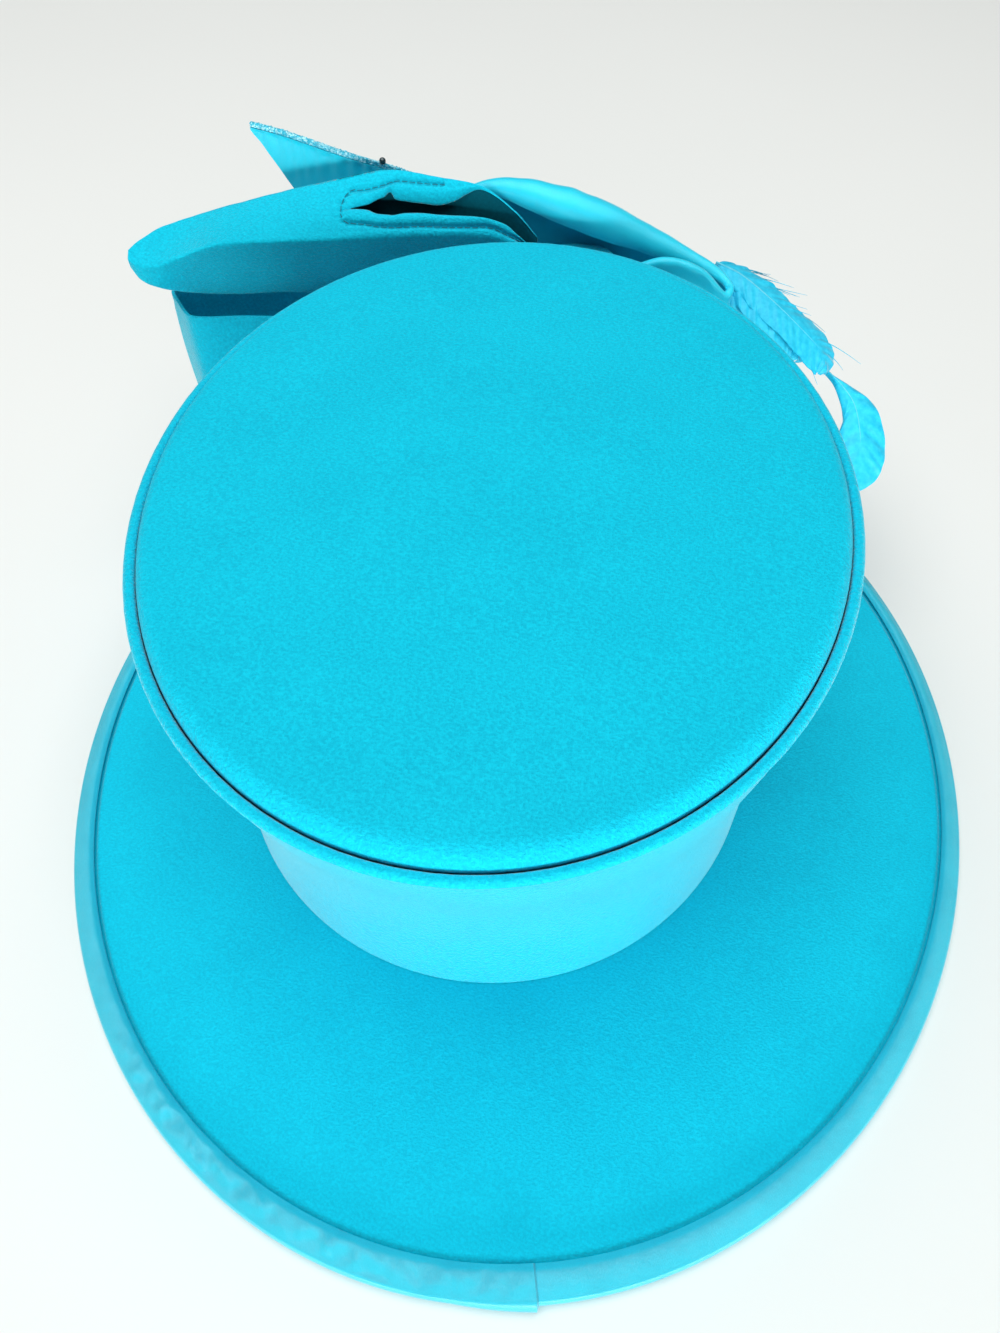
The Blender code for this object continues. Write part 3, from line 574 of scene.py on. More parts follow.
def make_band_loop():
    steps, levels = 240, 26
    outline = []
    for i in range(steps + 1):
        row = between(LOWER_BAND_ROWS, i / steps)
        place = Vector((BOW_SIDE - LOWER_SPAN * row.along, BOW_BACK + LOWER_DEPTH * row.forward, 0))
        outline.append((row.along, place))
    sections = []
    for i, (along, place) in enumerate(outline):
        direction = (outline[(i + 1) % len(outline)][1] - outline[i - 1][1]).normalized()
        inward = direction.cross(Vector((0, 0, 1)))
        top = CROWN_HEIGHT - LOWER_DROP - LOWER_BAND * 0.12 * (1 - along) ** 2
        bottom = top - LOWER_BAND * (1 - 0.34 * (1 - along) ** 2)
        outer, inner = [], []
        for j in range(levels):
            z = bottom + (top - bottom) * j / (levels - 1)
            from_rim = min(top - z, z - bottom)
            seam = math.exp(-((from_rim - HEM_WIDTH) / 0.0006) ** 2)
            bulge = 0.0006 * math.sin(math.pi * (z - bottom) / (top - bottom))
            bulge += 0.0005 * ripple((place.x, place.y, z * 0.6), 0.02, 7) * ease(along, 0.02, 0.2)
            skin = place + inward * (0.0004 * seam - bulge + 0.0003) + Vector((0, 0, z))
            lining = place + inward * (LOOP_WALL - 0.0003 * seam - bulge) + Vector((0, 0, z))
            outer.append(skin)
            inner.append(lining)
        sections.append(outer + list(reversed(inner)))
    return cloth_body("band_loop", sections, True, crepe)


band_loop = make_band_loop()
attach(band_loop, "root")
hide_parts("lower_loop")

# Upper bow loop.
# A flattened sleeve of crepe. Its left end is folded shut. The slit in its top is its mouth, with a hem
# turned in and sewn all round it, and a thread tacks its near face down by the crown.
UPPER_SPAN = 0.1537
UPPER_DEPTH = 0.032
UPPER_HEIGHT = 0.036
SLEEVE_CLOTH = 0.0010
MOUTH_END = 0.455
UNDERCUT = Vector((-0.0046, 0.0110, -0.0076))
LIP_SINK = Vector((-0.30, 0.80, -0.52))
TACK_PLACE = Vector((-0.1030, 0.1262, 0.1035))
TACK_SIZE = 0.0042
TACK_DEPTH = 0.0030
BEND_EASE = 0.35
HEM_POINTS, TOP_POINTS = 12, 5
HEM_PUFF = 0.0010
MOUTH_FADE = 0.022
FAR_PUFF = Vector((0, -0.6, 0.6))
SEAM_START = 0.03
FAR_SEAM_START = 0.235

TubeRow = namedtuple("TubeRow", "along near near_top near_bottom far far_top far_bottom")
UPPER_TUBE = (
    TubeRow(0.00, 0.20, 0.29, 0.68, 0.39, 0.15, 0.68), TubeRow(0.06, 0.21, 0.14, 0.71, 0.43, -0.11, 0.71),
    TubeRow(0.14, 0.18, 0.07, 0.74, 0.50, -0.31, 0.74), TubeRow(0.24, 0.12, 0.07, 0.74, 0.55, -0.35, 0.74),
    TubeRow(0.37, 0.00, 0.07, 0.72, 0.57, -0.39, 0.71), TubeRow(0.50, -0.16, 0.07, 0.71, 0.46, -0.30, 0.68),
    TubeRow(0.64, -0.29, 0.07, 0.68, 0.37, -0.16, 0.66), TubeRow(0.77, -0.41, 0.09, 0.67, 0.21, -0.04, 0.63),
    TubeRow(0.87, -0.46, 0.25, 0.66, 0.07, 0.06, 0.57), TubeRow(0.93, -0.49, 0.34, 0.61, -0.08, 0.11, 0.54),
    TubeRow(0.98, -0.47, 0.35, 0.53, -0.25, 0.20, 0.46), TubeRow(1.00, -0.43, 0.31, 0.41, -0.36, 0.25, 0.38),
)

# Round the sleeve, from the crease over its near face down, under and up its far face. side: -1 near, 1 far
TubeLine = namedtuple("TubeLine", "side height")
TUBE_LINES = (
    TubeLine(-0.91, 1.00), TubeLine(-0.98, 0.97), TubeLine(-1.00, 0.88), TubeLine(-1.00, 0.40),
    TubeLine(-1.00, -0.10), TubeLine(-1.00, -0.60), TubeLine(-0.97, -0.93), TubeLine(-0.85, -1.00),
    TubeLine(-0.30, -1.00), TubeLine(0.25, -1.00), TubeLine(0.80, -1.00), TubeLine(0.97, -0.92),
    TubeLine(1.00, -0.60), TubeLine(1.00, 0.00), TubeLine(1.00, 0.50), TubeLine(1.00, 0.88),
    TubeLine(0.985, 0.97), TubeLine(0.955, 1.00),
)

# The mouth, seen across the sleeve's top: its two hem seams, its two lips, and how far each lip sinks
MouthRow = namedtuple("MouthRow", "along near_seam near_lip far_lip far_seam near_sink far_sink")
MOUTH_ROWS = (
    MouthRow(0.000, -0.62, -0.45, 0.89, 0.94, 0.0000, 0.0000),
    MouthRow(0.050, -0.62, -0.42, 0.89, 0.94, 0.0003, 0.0000),
    MouthRow(0.070, -0.65, -0.22, 0.89, 0.94, 0.0004, 0.0000),
    MouthRow(0.100, -0.58, -0.22, 0.89, 0.94, 0.0006, 0.0000),
    MouthRow(0.130, -0.60, -0.25, 0.86, 0.94, 0.0008, 0.0002),
    MouthRow(0.150, -0.68, -0.28, 0.78, 0.93, 0.0008, 0.0008),
    MouthRow(0.175, -0.70, -0.30, 0.52, 0.90, 0.0008, 0.0022),
    MouthRow(0.200, -0.71, -0.31, 0.24, 0.85, 0.0008, 0.0032),
    MouthRow(0.235, -0.70, -0.30, 0.06, 0.76, 0.0008, 0.0040),
    MouthRow(0.280, -0.69, -0.28, 0.05, 0.69, 0.0008, 0.0040),
    MouthRow(0.320, -0.71, -0.30, 0.07, 0.66, 0.0008, 0.0036),
    MouthRow(0.348, -0.72, -0.37, 0.12, 0.65, 0.0008, 0.0030),
    MouthRow(0.361, -0.71, -0.36, 0.30, 0.61, 0.0008, 0.0016),
    MouthRow(0.374, -0.69, -0.34, 0.17, 0.56, 0.0008, 0.0012),
    MouthRow(0.390, -0.67, -0.30, 0.10, 0.50, 0.0008, 0.0010),
    MouthRow(0.410, -0.60, -0.18, -0.01, 0.47, 0.0008, 0.0010),
    MouthRow(0.430, -0.55, -0.12, -0.04, 0.46, 0.0006, 0.0008),
    MouthRow(0.455, -0.50, -0.07, -0.07, 0.51, 0.0006, 0.0006),
    MouthRow(0.480, -0.48, -0.06, -0.06, 0.45, 0.0000, 0.0000),
    MouthRow(0.600, -0.45, 0.00, 0.00, 0.45, 0.0000, 0.0000),
    MouthRow(1.000, -0.45, 0.00, 0.00, 0.45, 0.0000, 0.0000),
)
MOUTH_CORNER = ((0.466, -0.42), (0.474, -0.27), (0.478, -0.05), (0.476, 0.18), (0.468, 0.40))


def tube_point(along, side, height):
    """A point on the sleeve's outside. Side and height run from -1 to 1 across it."""
    row = between(UPPER_TUBE, along)
    near, far = UPPER_DEPTH * row.near, UPPER_DEPTH * row.far
    share = (1 + side) / 2
    top = UPPER_HEIGHT * (row.near_top + (row.far_top - row.near_top) * share)
    bottom = UPPER_HEIGHT * (row.near_bottom + (row.far_bottom - row.near_bottom) * share)
    z = CROWN_HEIGHT - bottom + (bottom - top) * (1 + height) / 2
    point = Vector((BOW_SIDE - UPPER_SPAN * along, BOW_BACK + near + (far - near) * share, z))
    low = (1 - height) / 2 * max(0.8 - side, 0) / 1.8
    return point + UNDERCUT * low * ease(along, 0.0, 0.15) * (1 - ease(along, 0.80, 0.95))


def smooth_lines(table, fineness):
    """More points on a smooth open curve through a table's points."""
    points = []
    last = len(table) - 1
    for i in range(last):
        before, here, there, after = table[max(i - 1, 0)], table[i], table[i + 1], table[min(i + 2, last)]
        for j in range(fineness):
            t = j / fineness
            slopes = [((there[c] - before[c]) * BEND_EASE, (after[c] - here[c]) * BEND_EASE) for c in (0, 1)]
            points.append([on_curve(here[c], there[c], *slopes[c], t) for c in (0, 1)])
    points.append(list(table[last][:2]))
    return points


def tube_section(along):
    """Round the sleeve from the near lip, over the near seam, under, and back up to the far lip."""
    mouth = between(MOUTH_ROWS, along)

    def across_top(seam, crease):
        return [tube_point(along, seam + (crease - seam) * i / TOP_POINTS, 1) for i in range(TOP_POINTS)]

    in_mouth = 1 - ease(along, MOUTH_END, MOUTH_END + MOUTH_FADE)
    near_hem, far_hem = [], []
    for i in range(HEM_POINTS):
        t = i / HEM_POINTS
        puff = HEM_PUFF * math.sin(math.pi * min(t * 1.15, 1)) * in_mouth
        near = tube_point(along, mouth.near_lip + (mouth.near_seam - mouth.near_lip) * t, 1)
        far = tube_point(along, mouth.far_lip + (mouth.far_seam - mouth.far_lip) * t, 1)
        flat = min((mouth.far_seam - mouth.far_lip) / 0.35, 1)
        near_hem.append(near + LIP_SINK * mouth.near_sink * (1 - t) ** 1.5 + Vector((0, 0, puff)))
        far_sunk = far + LIP_SINK * mouth.far_sink * (1 - t) ** 1.3
        far_hem.append(far_sunk + FAR_PUFF * puff * flat ** 2)
    near_top = across_top(mouth.near_seam, TUBE_LINES[0].side)
    far_top = across_top(mouth.far_seam, TUBE_LINES[-1].side)
    around = [tube_point(along, side, height) for side, height in smooth_lines(TUBE_LINES, 3)]
    return near_hem + near_top + around + list(reversed(far_top)) + list(reversed(far_hem))


def hem_seam():
    """The line of the hem's stitches, from the knot along the near side, round the corner and back."""
    steps = 150
    near, far = [], []
    for i in range(steps + 1):
        along = SEAM_START + (MOUTH_END - SEAM_START) * i / steps
        mouth = between(MOUTH_ROWS, along)
        near.append(tube_point(along, mouth.near_seam, 1))
        if along > FAR_SEAM_START:
            far.append(tube_point(along, mouth.far_seam, 1))
    corner = [tube_point(along, side, 1) for along, side in MOUTH_CORNER]
    return near + corner + list(reversed(far))


HEM_SEAM = hem_seam()


def as_plain_mesh(piece, look=None):
    """Turns the result of a piece's modifiers into its own mesh."""
    shown = piece.evaluated_get(bpy.context.evaluated_depsgraph_get())
    mesh = bpy.data.meshes.new_from_object(shown)
    piece.modifiers.clear()
    if piece.type == "CURVE":
        made = add_object(piece.name, mesh)
        bpy.data.objects.remove(piece)
        piece = made
    else:
        piece.data = mesh
    if look:
        piece.data.materials.clear()
        piece.data.materials.append(look)
    return piece


def made_piece(name, work, look):
    """The worked mesh as a smooth piece of one finish."""
    mesh = bpy.data.meshes.new(name)
    work.to_mesh(mesh)
    work.free()
    mesh.shade_smooth()
    mesh.materials.append(look)
    return add_object(name, mesh)


def make_painted_shade_inside():
    """The cloth's inside, dull, and painted much darker than its face as painted shade for the sleeve's
    hollow.
    """
    finish = Finish("crepe_inside_painted_shade", Specular_IOR_Level=0.05, Roughness=0.9)
    finish.colour(finish.mix(finish.clouds(0.0011), (0.001, 0.07, 0.10), (0.002, 0.13, 0.18)))
    return finish.material


def make_sleeve_loop():
    stations = [MOUTH_END * i / 150 for i in range(151)]
    stations += [MOUTH_END + (1 - MOUTH_END) * math.sin(math.pi / 2 * i / 80) for i in range(1, 81)]
    work = bmesh.new()
    rows = [[work.verts.new(point) for point in tube_section(along)] for along in stations]
    for here, there in zip(rows, rows[1:]):
        for j in range(len(here) - 1):
            work.faces.new((here[j], here[j + 1], there[j + 1], there[j]))
    bmesh.ops.remove_doubles(work, verts=work.verts, dist=0.00002)
    end_edges = [edge for edge in work.edges if edge.is_boundary and edge.calc_length() < 0.004
                 and all(vertex.co.x < BOW_SIDE - UPPER_SPAN * 0.999 for vertex in edge.verts)]
    bmesh.ops.holes_fill(work, edges=end_edges, sides=0)
    bmesh.ops.recalc_face_normals(work, faces=work.faces)
    highest = max(work.faces, key=lambda face: face.calc_center_median().z)
    if highest.normal.z < 0:
        bmesh.ops.reverse_faces(work, faces=work.faces)
    seam = kdtree.KDTree(len(HEM_SEAM))
    for index, point in enumerate(HEM_SEAM):
        seam.insert(point, index)
    seam.balance()
    work.normal_update()
    for vertex in work.verts:
        to_seam = seam.find(vertex.co)[2]
        slack = 0.0005 * ripple(vertex.co, 0.024, 8) + 0.00015 * ripple(vertex.co, 0.005, 9)
        tack = math.exp(-((vertex.co - TACK_PLACE).length / TACK_SIZE) ** 2)
        groove = 0.0015 * math.exp(-(to_seam / 0.00065) ** 2)
        vertex.co += vertex.normal * (slack - groove - TACK_DEPTH * tack)
    sleeve = made_piece("sleeve_loop", work, crepe)
    # The inner shell gets the dark inside finish: painted shade for the hollow of the sleeve and its mouth.
    sleeve.data.materials.append(make_painted_shade_inside())
    thicken = sleeve.modifiers.new("cloth", "SOLIDIFY")
    thicken.thickness = SLEEVE_CLOTH
    thicken.offset = -1
    thicken.material_offset = 1
    thicken.thickness_clamp = 1.0
    return as_plain_mesh(sleeve)


sleeve_loop = make_sleeve_loop()
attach(sleeve_loop, "root")
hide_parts("upper_loop")

# Bow knot.
# A short wrap of crepe round both loops' ends, sewn to the crown's front. Its folds run up and down.
KnotRow = namedtuple("KnotRow", "height size")
KNOT_SHAPE = (
    KnotRow(0.00, 0.62), KnotRow(0.12, 0.90), KnotRow(0.30, 1.00), KnotRow(0.50, 0.95),
    KnotRow(0.70, 1.00), KnotRow(0.88, 0.98), KnotRow(1.00, 0.70),
)
KNOT_BOTTOM = CROWN_HEIGHT - KNOT_DROP - KNOT_HEIGHT
KNOT_FRONT = crown_front(KNOT_X, KNOT_BOTTOM + KNOT_HEIGHT / 2) + SEWING_GAP + KNOT_DEPTH


def wound_body(name, rings, look):
    """A closed body through level rings of points, with a flat face at each end."""
    work = bmesh.new()
    loops = [[work.verts.new(point) for point in ring] for ring in rings]
    for low, high in zip(loops, loops[1:]):
        for j in range(len(low)):
            k = (j + 1) % len(low)
            work.faces.new((low[j], low[k], high[k], high[j]))
    work.faces.new(list(reversed(loops[0])))
    work.faces.new(loops[-1])
    piece = made_piece(name, work, look)
    piece.data.set_sharp_from_angle(angle=SHARP_ANGLE)
    return piece


def make_bow_wrap():
    sides, levels = 96, 26
    rings = []
    for i in range(levels):
        row = between(KNOT_SHAPE, i / (levels - 1))
        z = KNOT_BOTTOM + KNOT_HEIGHT * row.height
        back = crown_front(KNOT_X, z) + SEWING_GAP
        ring = []
        for j in range(sides):
            angle = 2 * math.pi * j / sides
            a, b = math.cos(angle), math.sin(angle)
            crease = 1 - 0.022 * (1 + math.sin(angle * 14 + 2 * ripple((angle, row.height * 3, 0), 0.7, 4)))
            x = KNOT_WIDTH / 2 * row.size * crease * math.copysign(abs(a) ** (2 / 3), a)
            y = (KNOT_FRONT - back) / 2 * row.size * crease * math.copysign(abs(b) ** (2 / 3), b)
            ring.append((KNOT_X + x, (KNOT_FRONT + back) / 2 + y, z))
        rings.append(ring)
    return wound_body("bow_wrap", rings, crepe)


bow_wrap = make_bow_wrap()
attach(bow_wrap, "root")
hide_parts("bow_knot")

# Satin sash.
# A wide band of satin passes in front of the knot, folds back on its right and is sewn to the knot's side.
# Its upper edge is rolled over towards the crown.
SASH_REACH = 0.112
SASH_DEPTH = 0.0255
SASH_BAND = 0.052
SASH_WALL = 0.0014
SASH_ROLL = 0.007
ROLL_TURN = math.radians(215)
ROLL_CLOTH = 0.0011
SASH_FOLD_DEPTH = 0.0016
SASH_FOLDS = 3
SASH_FRONT = KNOT_FRONT + SEWING_GAP + SASH_WALL + SASH_FOLD_DEPTH

SashRow = namedtuple("SashRow", "along side forward top bottom roll")
SASH_ROWS = (
    SashRow(0.00, -0.48, 0.90, -0.06, 0.70, 0.20), SashRow(0.12, -0.31, 0.99, -0.20, 0.88, 0.50),
    SashRow(0.25, -0.11, 1.00, -0.21, 1.00, 0.95), SashRow(0.37, 0.07, 0.99, -0.11, 1.02, 1.0),
    SashRow(0.48, 0.235, 0.90, 0.04, 0.98, 0.75), SashRow(0.58, 0.375, 0.72, 0.16, 0.90, 0.5),
    SashRow(0.66, 0.475, 0.50, 0.24, 0.84, 0.3), SashRow(0.72, 0.525, 0.26, 0.30, 0.82, 0.22),
    SashRow(0.78, 0.500, 0.08, 0.33, 0.82, 0.22), SashRow(0.85, 0.405, 0.02, 0.15, 0.84, 0.25),
    SashRow(0.93, 0.275, 0.06, 0.10, 0.88, 0.28), SashRow(1.00, 0.155, 0.13, 0.22, 0.88, 0.28),
)


def sash_place(along):
    row = between(SASH_ROWS, along)
    return Vector((KNOT_X + SASH_REACH * row.side, SASH_FRONT - SASH_DEPTH * (1 - row.forward), 0)), row


def sash_inward(along):
    direction = (sash_place(min(along + 0.01, 1))[0] - sash_place(max(along - 0.01, 0))[0]).normalized()
    return Vector((direction.y, -direction.x, 0))


def make_sash():
    steps, levels, roll_steps = 200, 30, 16
    sections = []
    for i in range(steps + 1):
        along = i / steps
        place, row = sash_place(along)
        inward = sash_inward(along)
        top = CROWN_HEIGHT - SASH_BAND * row.top
        bottom = CROWN_HEIGHT - SASH_BAND * row.bottom
        radius = SASH_ROLL * row.roll
        outer, inner = [], []
        for j in range(levels):
            share = j / (levels - 1)
            z = bottom + (top - radius - bottom) * share
            fold = 2 * math.pi * SASH_FOLDS * share + 1.2 * math.sin(along * 5)
            wave = math.sin(math.pi * share) * (1 - math.cos(fold)) / 2
            crease = 0.00025 * ripple((along * 30, z * 160 + along * 6, 0), 1.0, 3)
            offset = SASH_FOLD_DEPTH * wave + crease + 0.00025
            outer.append(place + inward * offset + Vector((0, 0, z)))
            inner.append(place + inward * (offset + SASH_WALL - 0.0003) + Vector((0, 0, z)))
        for j in range(1, roll_steps + 1):
            roll = ROLL_TURN * j / roll_steps
            swell = radius * (1 + 0.05 * ripple((along * 26, j * 0.12, 0), 1.0, 5))
            offset = radius - swell * math.cos(roll) + 0.00025
            z = top - radius + swell * math.sin(roll)
            outer.append(place + inward * offset + Vector((0, 0, z)))
            under = Vector((0, 0, z - math.sin(roll) * ROLL_CLOTH))
            inner.append(place + inward * (offset + math.cos(roll) * ROLL_CLOTH) + under)
        sections.append(outer + list(reversed(inner)))
    return cloth_body("sash", sections, False, satin)


sash = make_sash()
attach(sash, "root")
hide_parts("satin_sash")

# Gathered end of the satin.
# The spare satin is pinched into a small upright tuft, wound with thread, where the feathers are sewn in.
GATHER_RADIUS = 0.0048
GATHER_HEIGHT = 0.017
GATHER_SEAT = 0.0008
GATHER_SUNK = 0.62


def find_gather():
    place, row = sash_place(0.62)
    centre = place - sash_inward(0.62) * (GATHER_RADIUS + SEWING_GAP - GATHER_SEAT)
    centre.z = CROWN_HEIGHT - SASH_BAND * row.top - GATHER_HEIGHT / 2
    return centre


GatherRow = namedtuple("GatherRow", "height size")
GATHER_SHAPE = (
    GatherRow(0.00, 0.55), GatherRow(0.12, 0.85), GatherRow(0.35, 1.00), GatherRow(0.60, 0.92),
    GatherRow(0.85, 0.75), GatherRow(1.00, 0.45),
)
GATHER_CENTRE = find_gather()


def make_gather():
    sides, levels = 64, 22
    rings = []
    for i in range(levels):
        row = between(GATHER_SHAPE, i / (levels - 1))
        z = (row.height * GATHER_SUNK - 0.5) * GATHER_HEIGHT
        ring = []
        for j in range(sides):
            angle = 2 * math.pi * j / sides
            pleat = 1 - 0.10 * (1 + math.sin(angle * 9 + row.height * 1.4)) / 2
            size = GATHER_RADIUS * row.size * pleat
            ring.append(GATHER_CENTRE + Vector((math.cos(angle) * size, math.sin(angle) * size, z)))
        rings.append(ring)
    return wound_body("gather", rings, satin)


gather = make_gather()
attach(gather, "root")
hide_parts("sash_gather")

# Pointed tail.
# A pointed leaf of satin sewn to the sash's outside. The braid along its upper edge draws it in, so small
# puckers run down from that edge.
TAIL_LENGTH = 0.1115
TAIL_WIDTH = 0.044
TAIL_THICKNESS = 0.0015

TailRow = namedtuple("TailRow", "along upper lower")
TAIL_ROWS = (
    TailRow(0.00, -0.15, -0.81), TailRow(0.15, -0.03, -0.88), TailRow(0.33, 0.04, -0.88),
    TailRow(0.51, 0.17, -0.79), TailRow(0.645, 0.25, -0.63), TailRow(0.735, 0.31, -0.47),
    TailRow(0.825, 0.375, -0.25), TailRow(0.89, 0.42, 0.00), TailRow(0.945, 0.45, 0.24),
    TailRow(1.00, 0.475, 0.455),
)
TAIL_BACK = SASH_FRONT + SEWING_GAP


def make_tail():
    steps, levels = 120, 24
    sections = []
    for i in range(steps + 1):
        row = between(TAIL_ROWS, i / steps)
        x = KNOT_X - KNOT_WIDTH / 2 - TAIL_LENGTH * row.along
        near, far = [], []
        for j in range(levels):
            share = j / (levels - 1)
            z = CROWN_HEIGHT + TAIL_WIDTH * (row.lower + (row.upper - row.lower) * share)
            from_edge = TAIL_WIDTH * (row.upper - row.lower) * (1 - share)
            pucker = 0.5 + 0.5 * math.sin(x / 0.00085 + 3 * ripple((x, 0, 0), 0.012, 2))
            depth = 0.0011 * pucker * math.exp(-from_edge / 0.007) * ease(from_edge, 0, 0.0012)
            near.append(Vector((x, TAIL_BACK + depth, z)))
            far.append(Vector((x, TAIL_BACK + TAIL_THICKNESS - 0.0003 + depth * 0.5, z)))
        sections.append(near + list(reversed(far)))
    return cloth_body("tail", sections, False, satin)


tail = make_tail()
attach(tail, "root")
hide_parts("pointed_tail")

# Glitter braid and bead.
# A narrow braid stands on the tail's upper edge, set all over with small silvery stones, with one dark
# round bead sewn on top of it.
TRIM_START = 0.33
TRIM_WIDTH = 0.0019
TRIM_THICKNESS = 0.0016
BEAD_RADIUS = 0.0013
BEAD_PLACE = 0.56
STONE_DENSITY = 1.3e6
STONE_RADIUS = 0.00034
STONE_SEED = 4


def trim_seat(along):
    """A point on the tail's upper edge, and the direction off it."""
    places = []
    for at in (along, along - 0.02, min(along + 0.02, 1)):
        row = between(TAIL_ROWS, at)
        x = KNOT_X - KNOT_WIDTH / 2 - TAIL_LENGTH * at
        places.append(Vector((x, TAIL_BACK, CROWN_HEIGHT + TAIL_WIDTH * row.upper)))
    ahead = (places[2] - places[1]).normalized()
    return places[0] + Vector((0, TAIL_THICKNESS / 2, 0)), Vector((ahead.z, 0, -ahead.x))


def make_glitter():
    finish = Finish("glitter", Metallic=0.25, Roughness=0.30)
    stones = finish.node("ShaderNodeTexVoronoi", {}, Vector=finish.place(), Scale=1 / 0.0007)
    speck = finish.node("ShaderNodeTexVoronoi", {}, Vector=finish.place(), Scale=1 / 0.0007, out=1)
    spark = finish.node("ShaderNodeSeparateColor", {}, speck)
    finish.colour(finish.mix(finish.spread(spark, 0.3, 0.8), (0.04, 0.50, 0.66), (0.42, 0.82, 0.90)))
    finish.relief(stones, 0.0002)
    return finish.material


glitter = make_glitter()


def make_braid():
    steps = 60
    sections = []
    for i in range(steps + 1):
        place, outward = trim_seat(TRIM_START + (1 - TRIM_START) * i / steps)
        seat = place + outward * SEWING_GAP
        thick = Vector((0, TRIM_THICKNESS / 2 - 0.0003, 0))
        top = seat + outward * (TRIM_WIDTH - 0.0003)
        sections.append([seat - thick, top - thick, top + thick, seat + thick])
    return cloth_body("braid", sections, False, glitter)


class Growth:
    """A Geometry Nodes tree that grows small things of one finish. Its sizes are named inputs."""

    def __init__(self, name, look, **sizes):
        self.name = name
        self.look = look
        self.tree = bpy.data.node_groups.new(name, "GeometryNodeTree")
        self.socket("Geometry", "INPUT", "NodeSocketGeometry")
        self.sizes = [(self.socket(size.replace("_", " "), "INPUT", "NodeSocketFloat").identifier, value)
                      for size, value in sizes.items()]
        self.socket("Geometry", "OUTPUT", "NodeSocketGeometry")
        self.given = self.node("NodeGroupInput", {})

    def socket(self, label, side, kind):
        return self.tree.interface.new_socket(label, in_out=side, socket_type=kind)

    def node(self, kind, settings, **inputs):
        """Adds a node: its settings first, then its inputs. Gives its outputs."""
        node = self.tree.nodes.new(kind)
        for setting, value in settings.items():
            setattr(node, setting, value)
        for label, value in inputs.items():
            socket = node.inputs[label.replace("_", " ")]
            if isinstance(value, bpy.types.NodeSocket):
                self.tree.links.new(value, socket)
            else:
                socket.default_value = value
        return node.outputs

    def place(self, points, thing, turn):
        return self.node("GeometryNodeInstanceOnPoints", {}, Points=points, Instance=thing,
                         Rotation=turn)["Instances"]

    def end(self, grown):
        real = self.node("GeometryNodeRealizeInstances", {}, Geometry=grown)
        paint = self.node("GeometryNodeSetMaterial", {}, Geometry=real["Geometry"], Material=self.look)
        self.node("NodeGroupOutput", {}, Geometry=paint["Geometry"])

    def grow_on(self, piece):
        modifier = piece.modifiers.new(self.name, "NODES")
        modifier.node_group = self.tree
        for identifier, value in self.sizes:
            modifier[identifier] = value


def grow_stones(braid):
    """Scatters small cut stones over the braid."""
    stones = Growth("stones", glitter, Stone_Density=STONE_DENSITY, Stone_Radius=STONE_RADIUS)
    scatter = stones.node("GeometryNodeDistributePointsOnFaces", {}, Mesh=stones.given["Geometry"],
                          Density=stones.given["Stone Density"], Seed=STONE_SEED)
    stone = stones.node("GeometryNodeMeshIcoSphere", {}, Radius=stones.given["Stone Radius"], Subdivisions=1)
    turn = stones.node("FunctionNodeRandomValue", {"data_type": "FLOAT_VECTOR"}, Max=(6.28, 6.28, 6.28))
    placed = stones.place(scatter["Points"], stone["Mesh"], turn["Value"])
    join = stones.tree.nodes.new("GeometryNodeJoinGeometry")
    for part in (placed, stones.given["Geometry"]):
        stones.tree.links.new(part, join.inputs["Geometry"])
    stones.end(join.outputs["Geometry"])
    stones.grow_on(braid)


braid = make_braid()
grow_stones(braid)
braid = as_plain_mesh(braid, glitter)
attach(braid, "root")
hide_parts("tail_trim")

bead_finish = Finish("bead", Base_Color=(0.012, 0.045, 0.055, 1), Roughness=0.12, Coat_Weight=0.6)
bead_finish.roughness(bead_finish.clouds(0.0008) * 0.1 + 0.08)
bead_place, bead_out = trim_seat(BEAD_PLACE)
work = bmesh.new()
bmesh.ops.create_uvsphere(work, u_segments=32, v_segments=20, radius=BEAD_RADIUS)
for vertex in work.verts:
    vertex.co += bead_place + bead_out * (TRIM_WIDTH + BEAD_RADIUS * 0.6)
dark_bead = made_piece("dark_bead", work, bead_finish.material)
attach(dark_bead, "root")
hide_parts("tail_bead")

# Stitches.
# Machine stitches in matching thread run round the sleeve's mouth, a hem's width in from its edge. The thread
# is painted dark teal, as painted shade for the hem's groove.
THREAD_LENGTH = 0.0021
THREAD_RADIUS = 0.00016
THREAD_STEP = 0.0028
THREAD_SUNK = Vector((0, 0, -0.0003))

# Painted shade: the thread's dark teal stands in for the shadow in the hem's groove. The stitches themselves
# are real.
thread_finish = Finish("thread", Specular_IOR_Level=0.3, Roughness=0.55)
thread_shade = thread_finish.clouds(0.0004)
thread_finish.colour(thread_finish.mix(thread_shade, (0.001, 0.10, 0.15), (0.002, 0.17, 0.24)))
thread = thread_finish.material


def sew(name, points):
    """A row of stitches along a line of points."""
    curve = bpy.data.curves.new(name, "CURVE")
    curve.dimensions = "3D"
    spline = curve.splines.new("POLY")
    spline.points.add(len(points) - 1)
    for knot, point in zip(spline.points, points):
        knot.co = (*point, 1)
    seam = add_object(name, curve)
    row = Growth(name, thread, Stitch_Step=THREAD_STEP, Stitch_Length=THREAD_LENGTH,
                 Thread_Radius=THREAD_RADIUS)
    mark = row.node("GeometryNodeResampleCurve", {"mode": "LENGTH"}, Curve=row.given["Geometry"],
                    Length=row.given["Stitch Step"])
    dots = row.node("GeometryNodeCurveToPoints", {"mode": "EVALUATED"}, Curve=mark["Curve"])
    stitch = row.node("GeometryNodeMeshCylinder", {}, Vertices=8, Depth=row.given["Stitch Length"],
                      Radius=row.given["Thread Radius"])
    row.end(row.place(dots["Points"], stitch["Mesh"], dots["Rotation"]))
    row.grow_on(seam)
    seam = as_plain_mesh(seam, thread)
    seam.name = name
    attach(seam, "root")


sew("mouth_stitches", [point + THREAD_SUNK for point in HEM_SEAM])

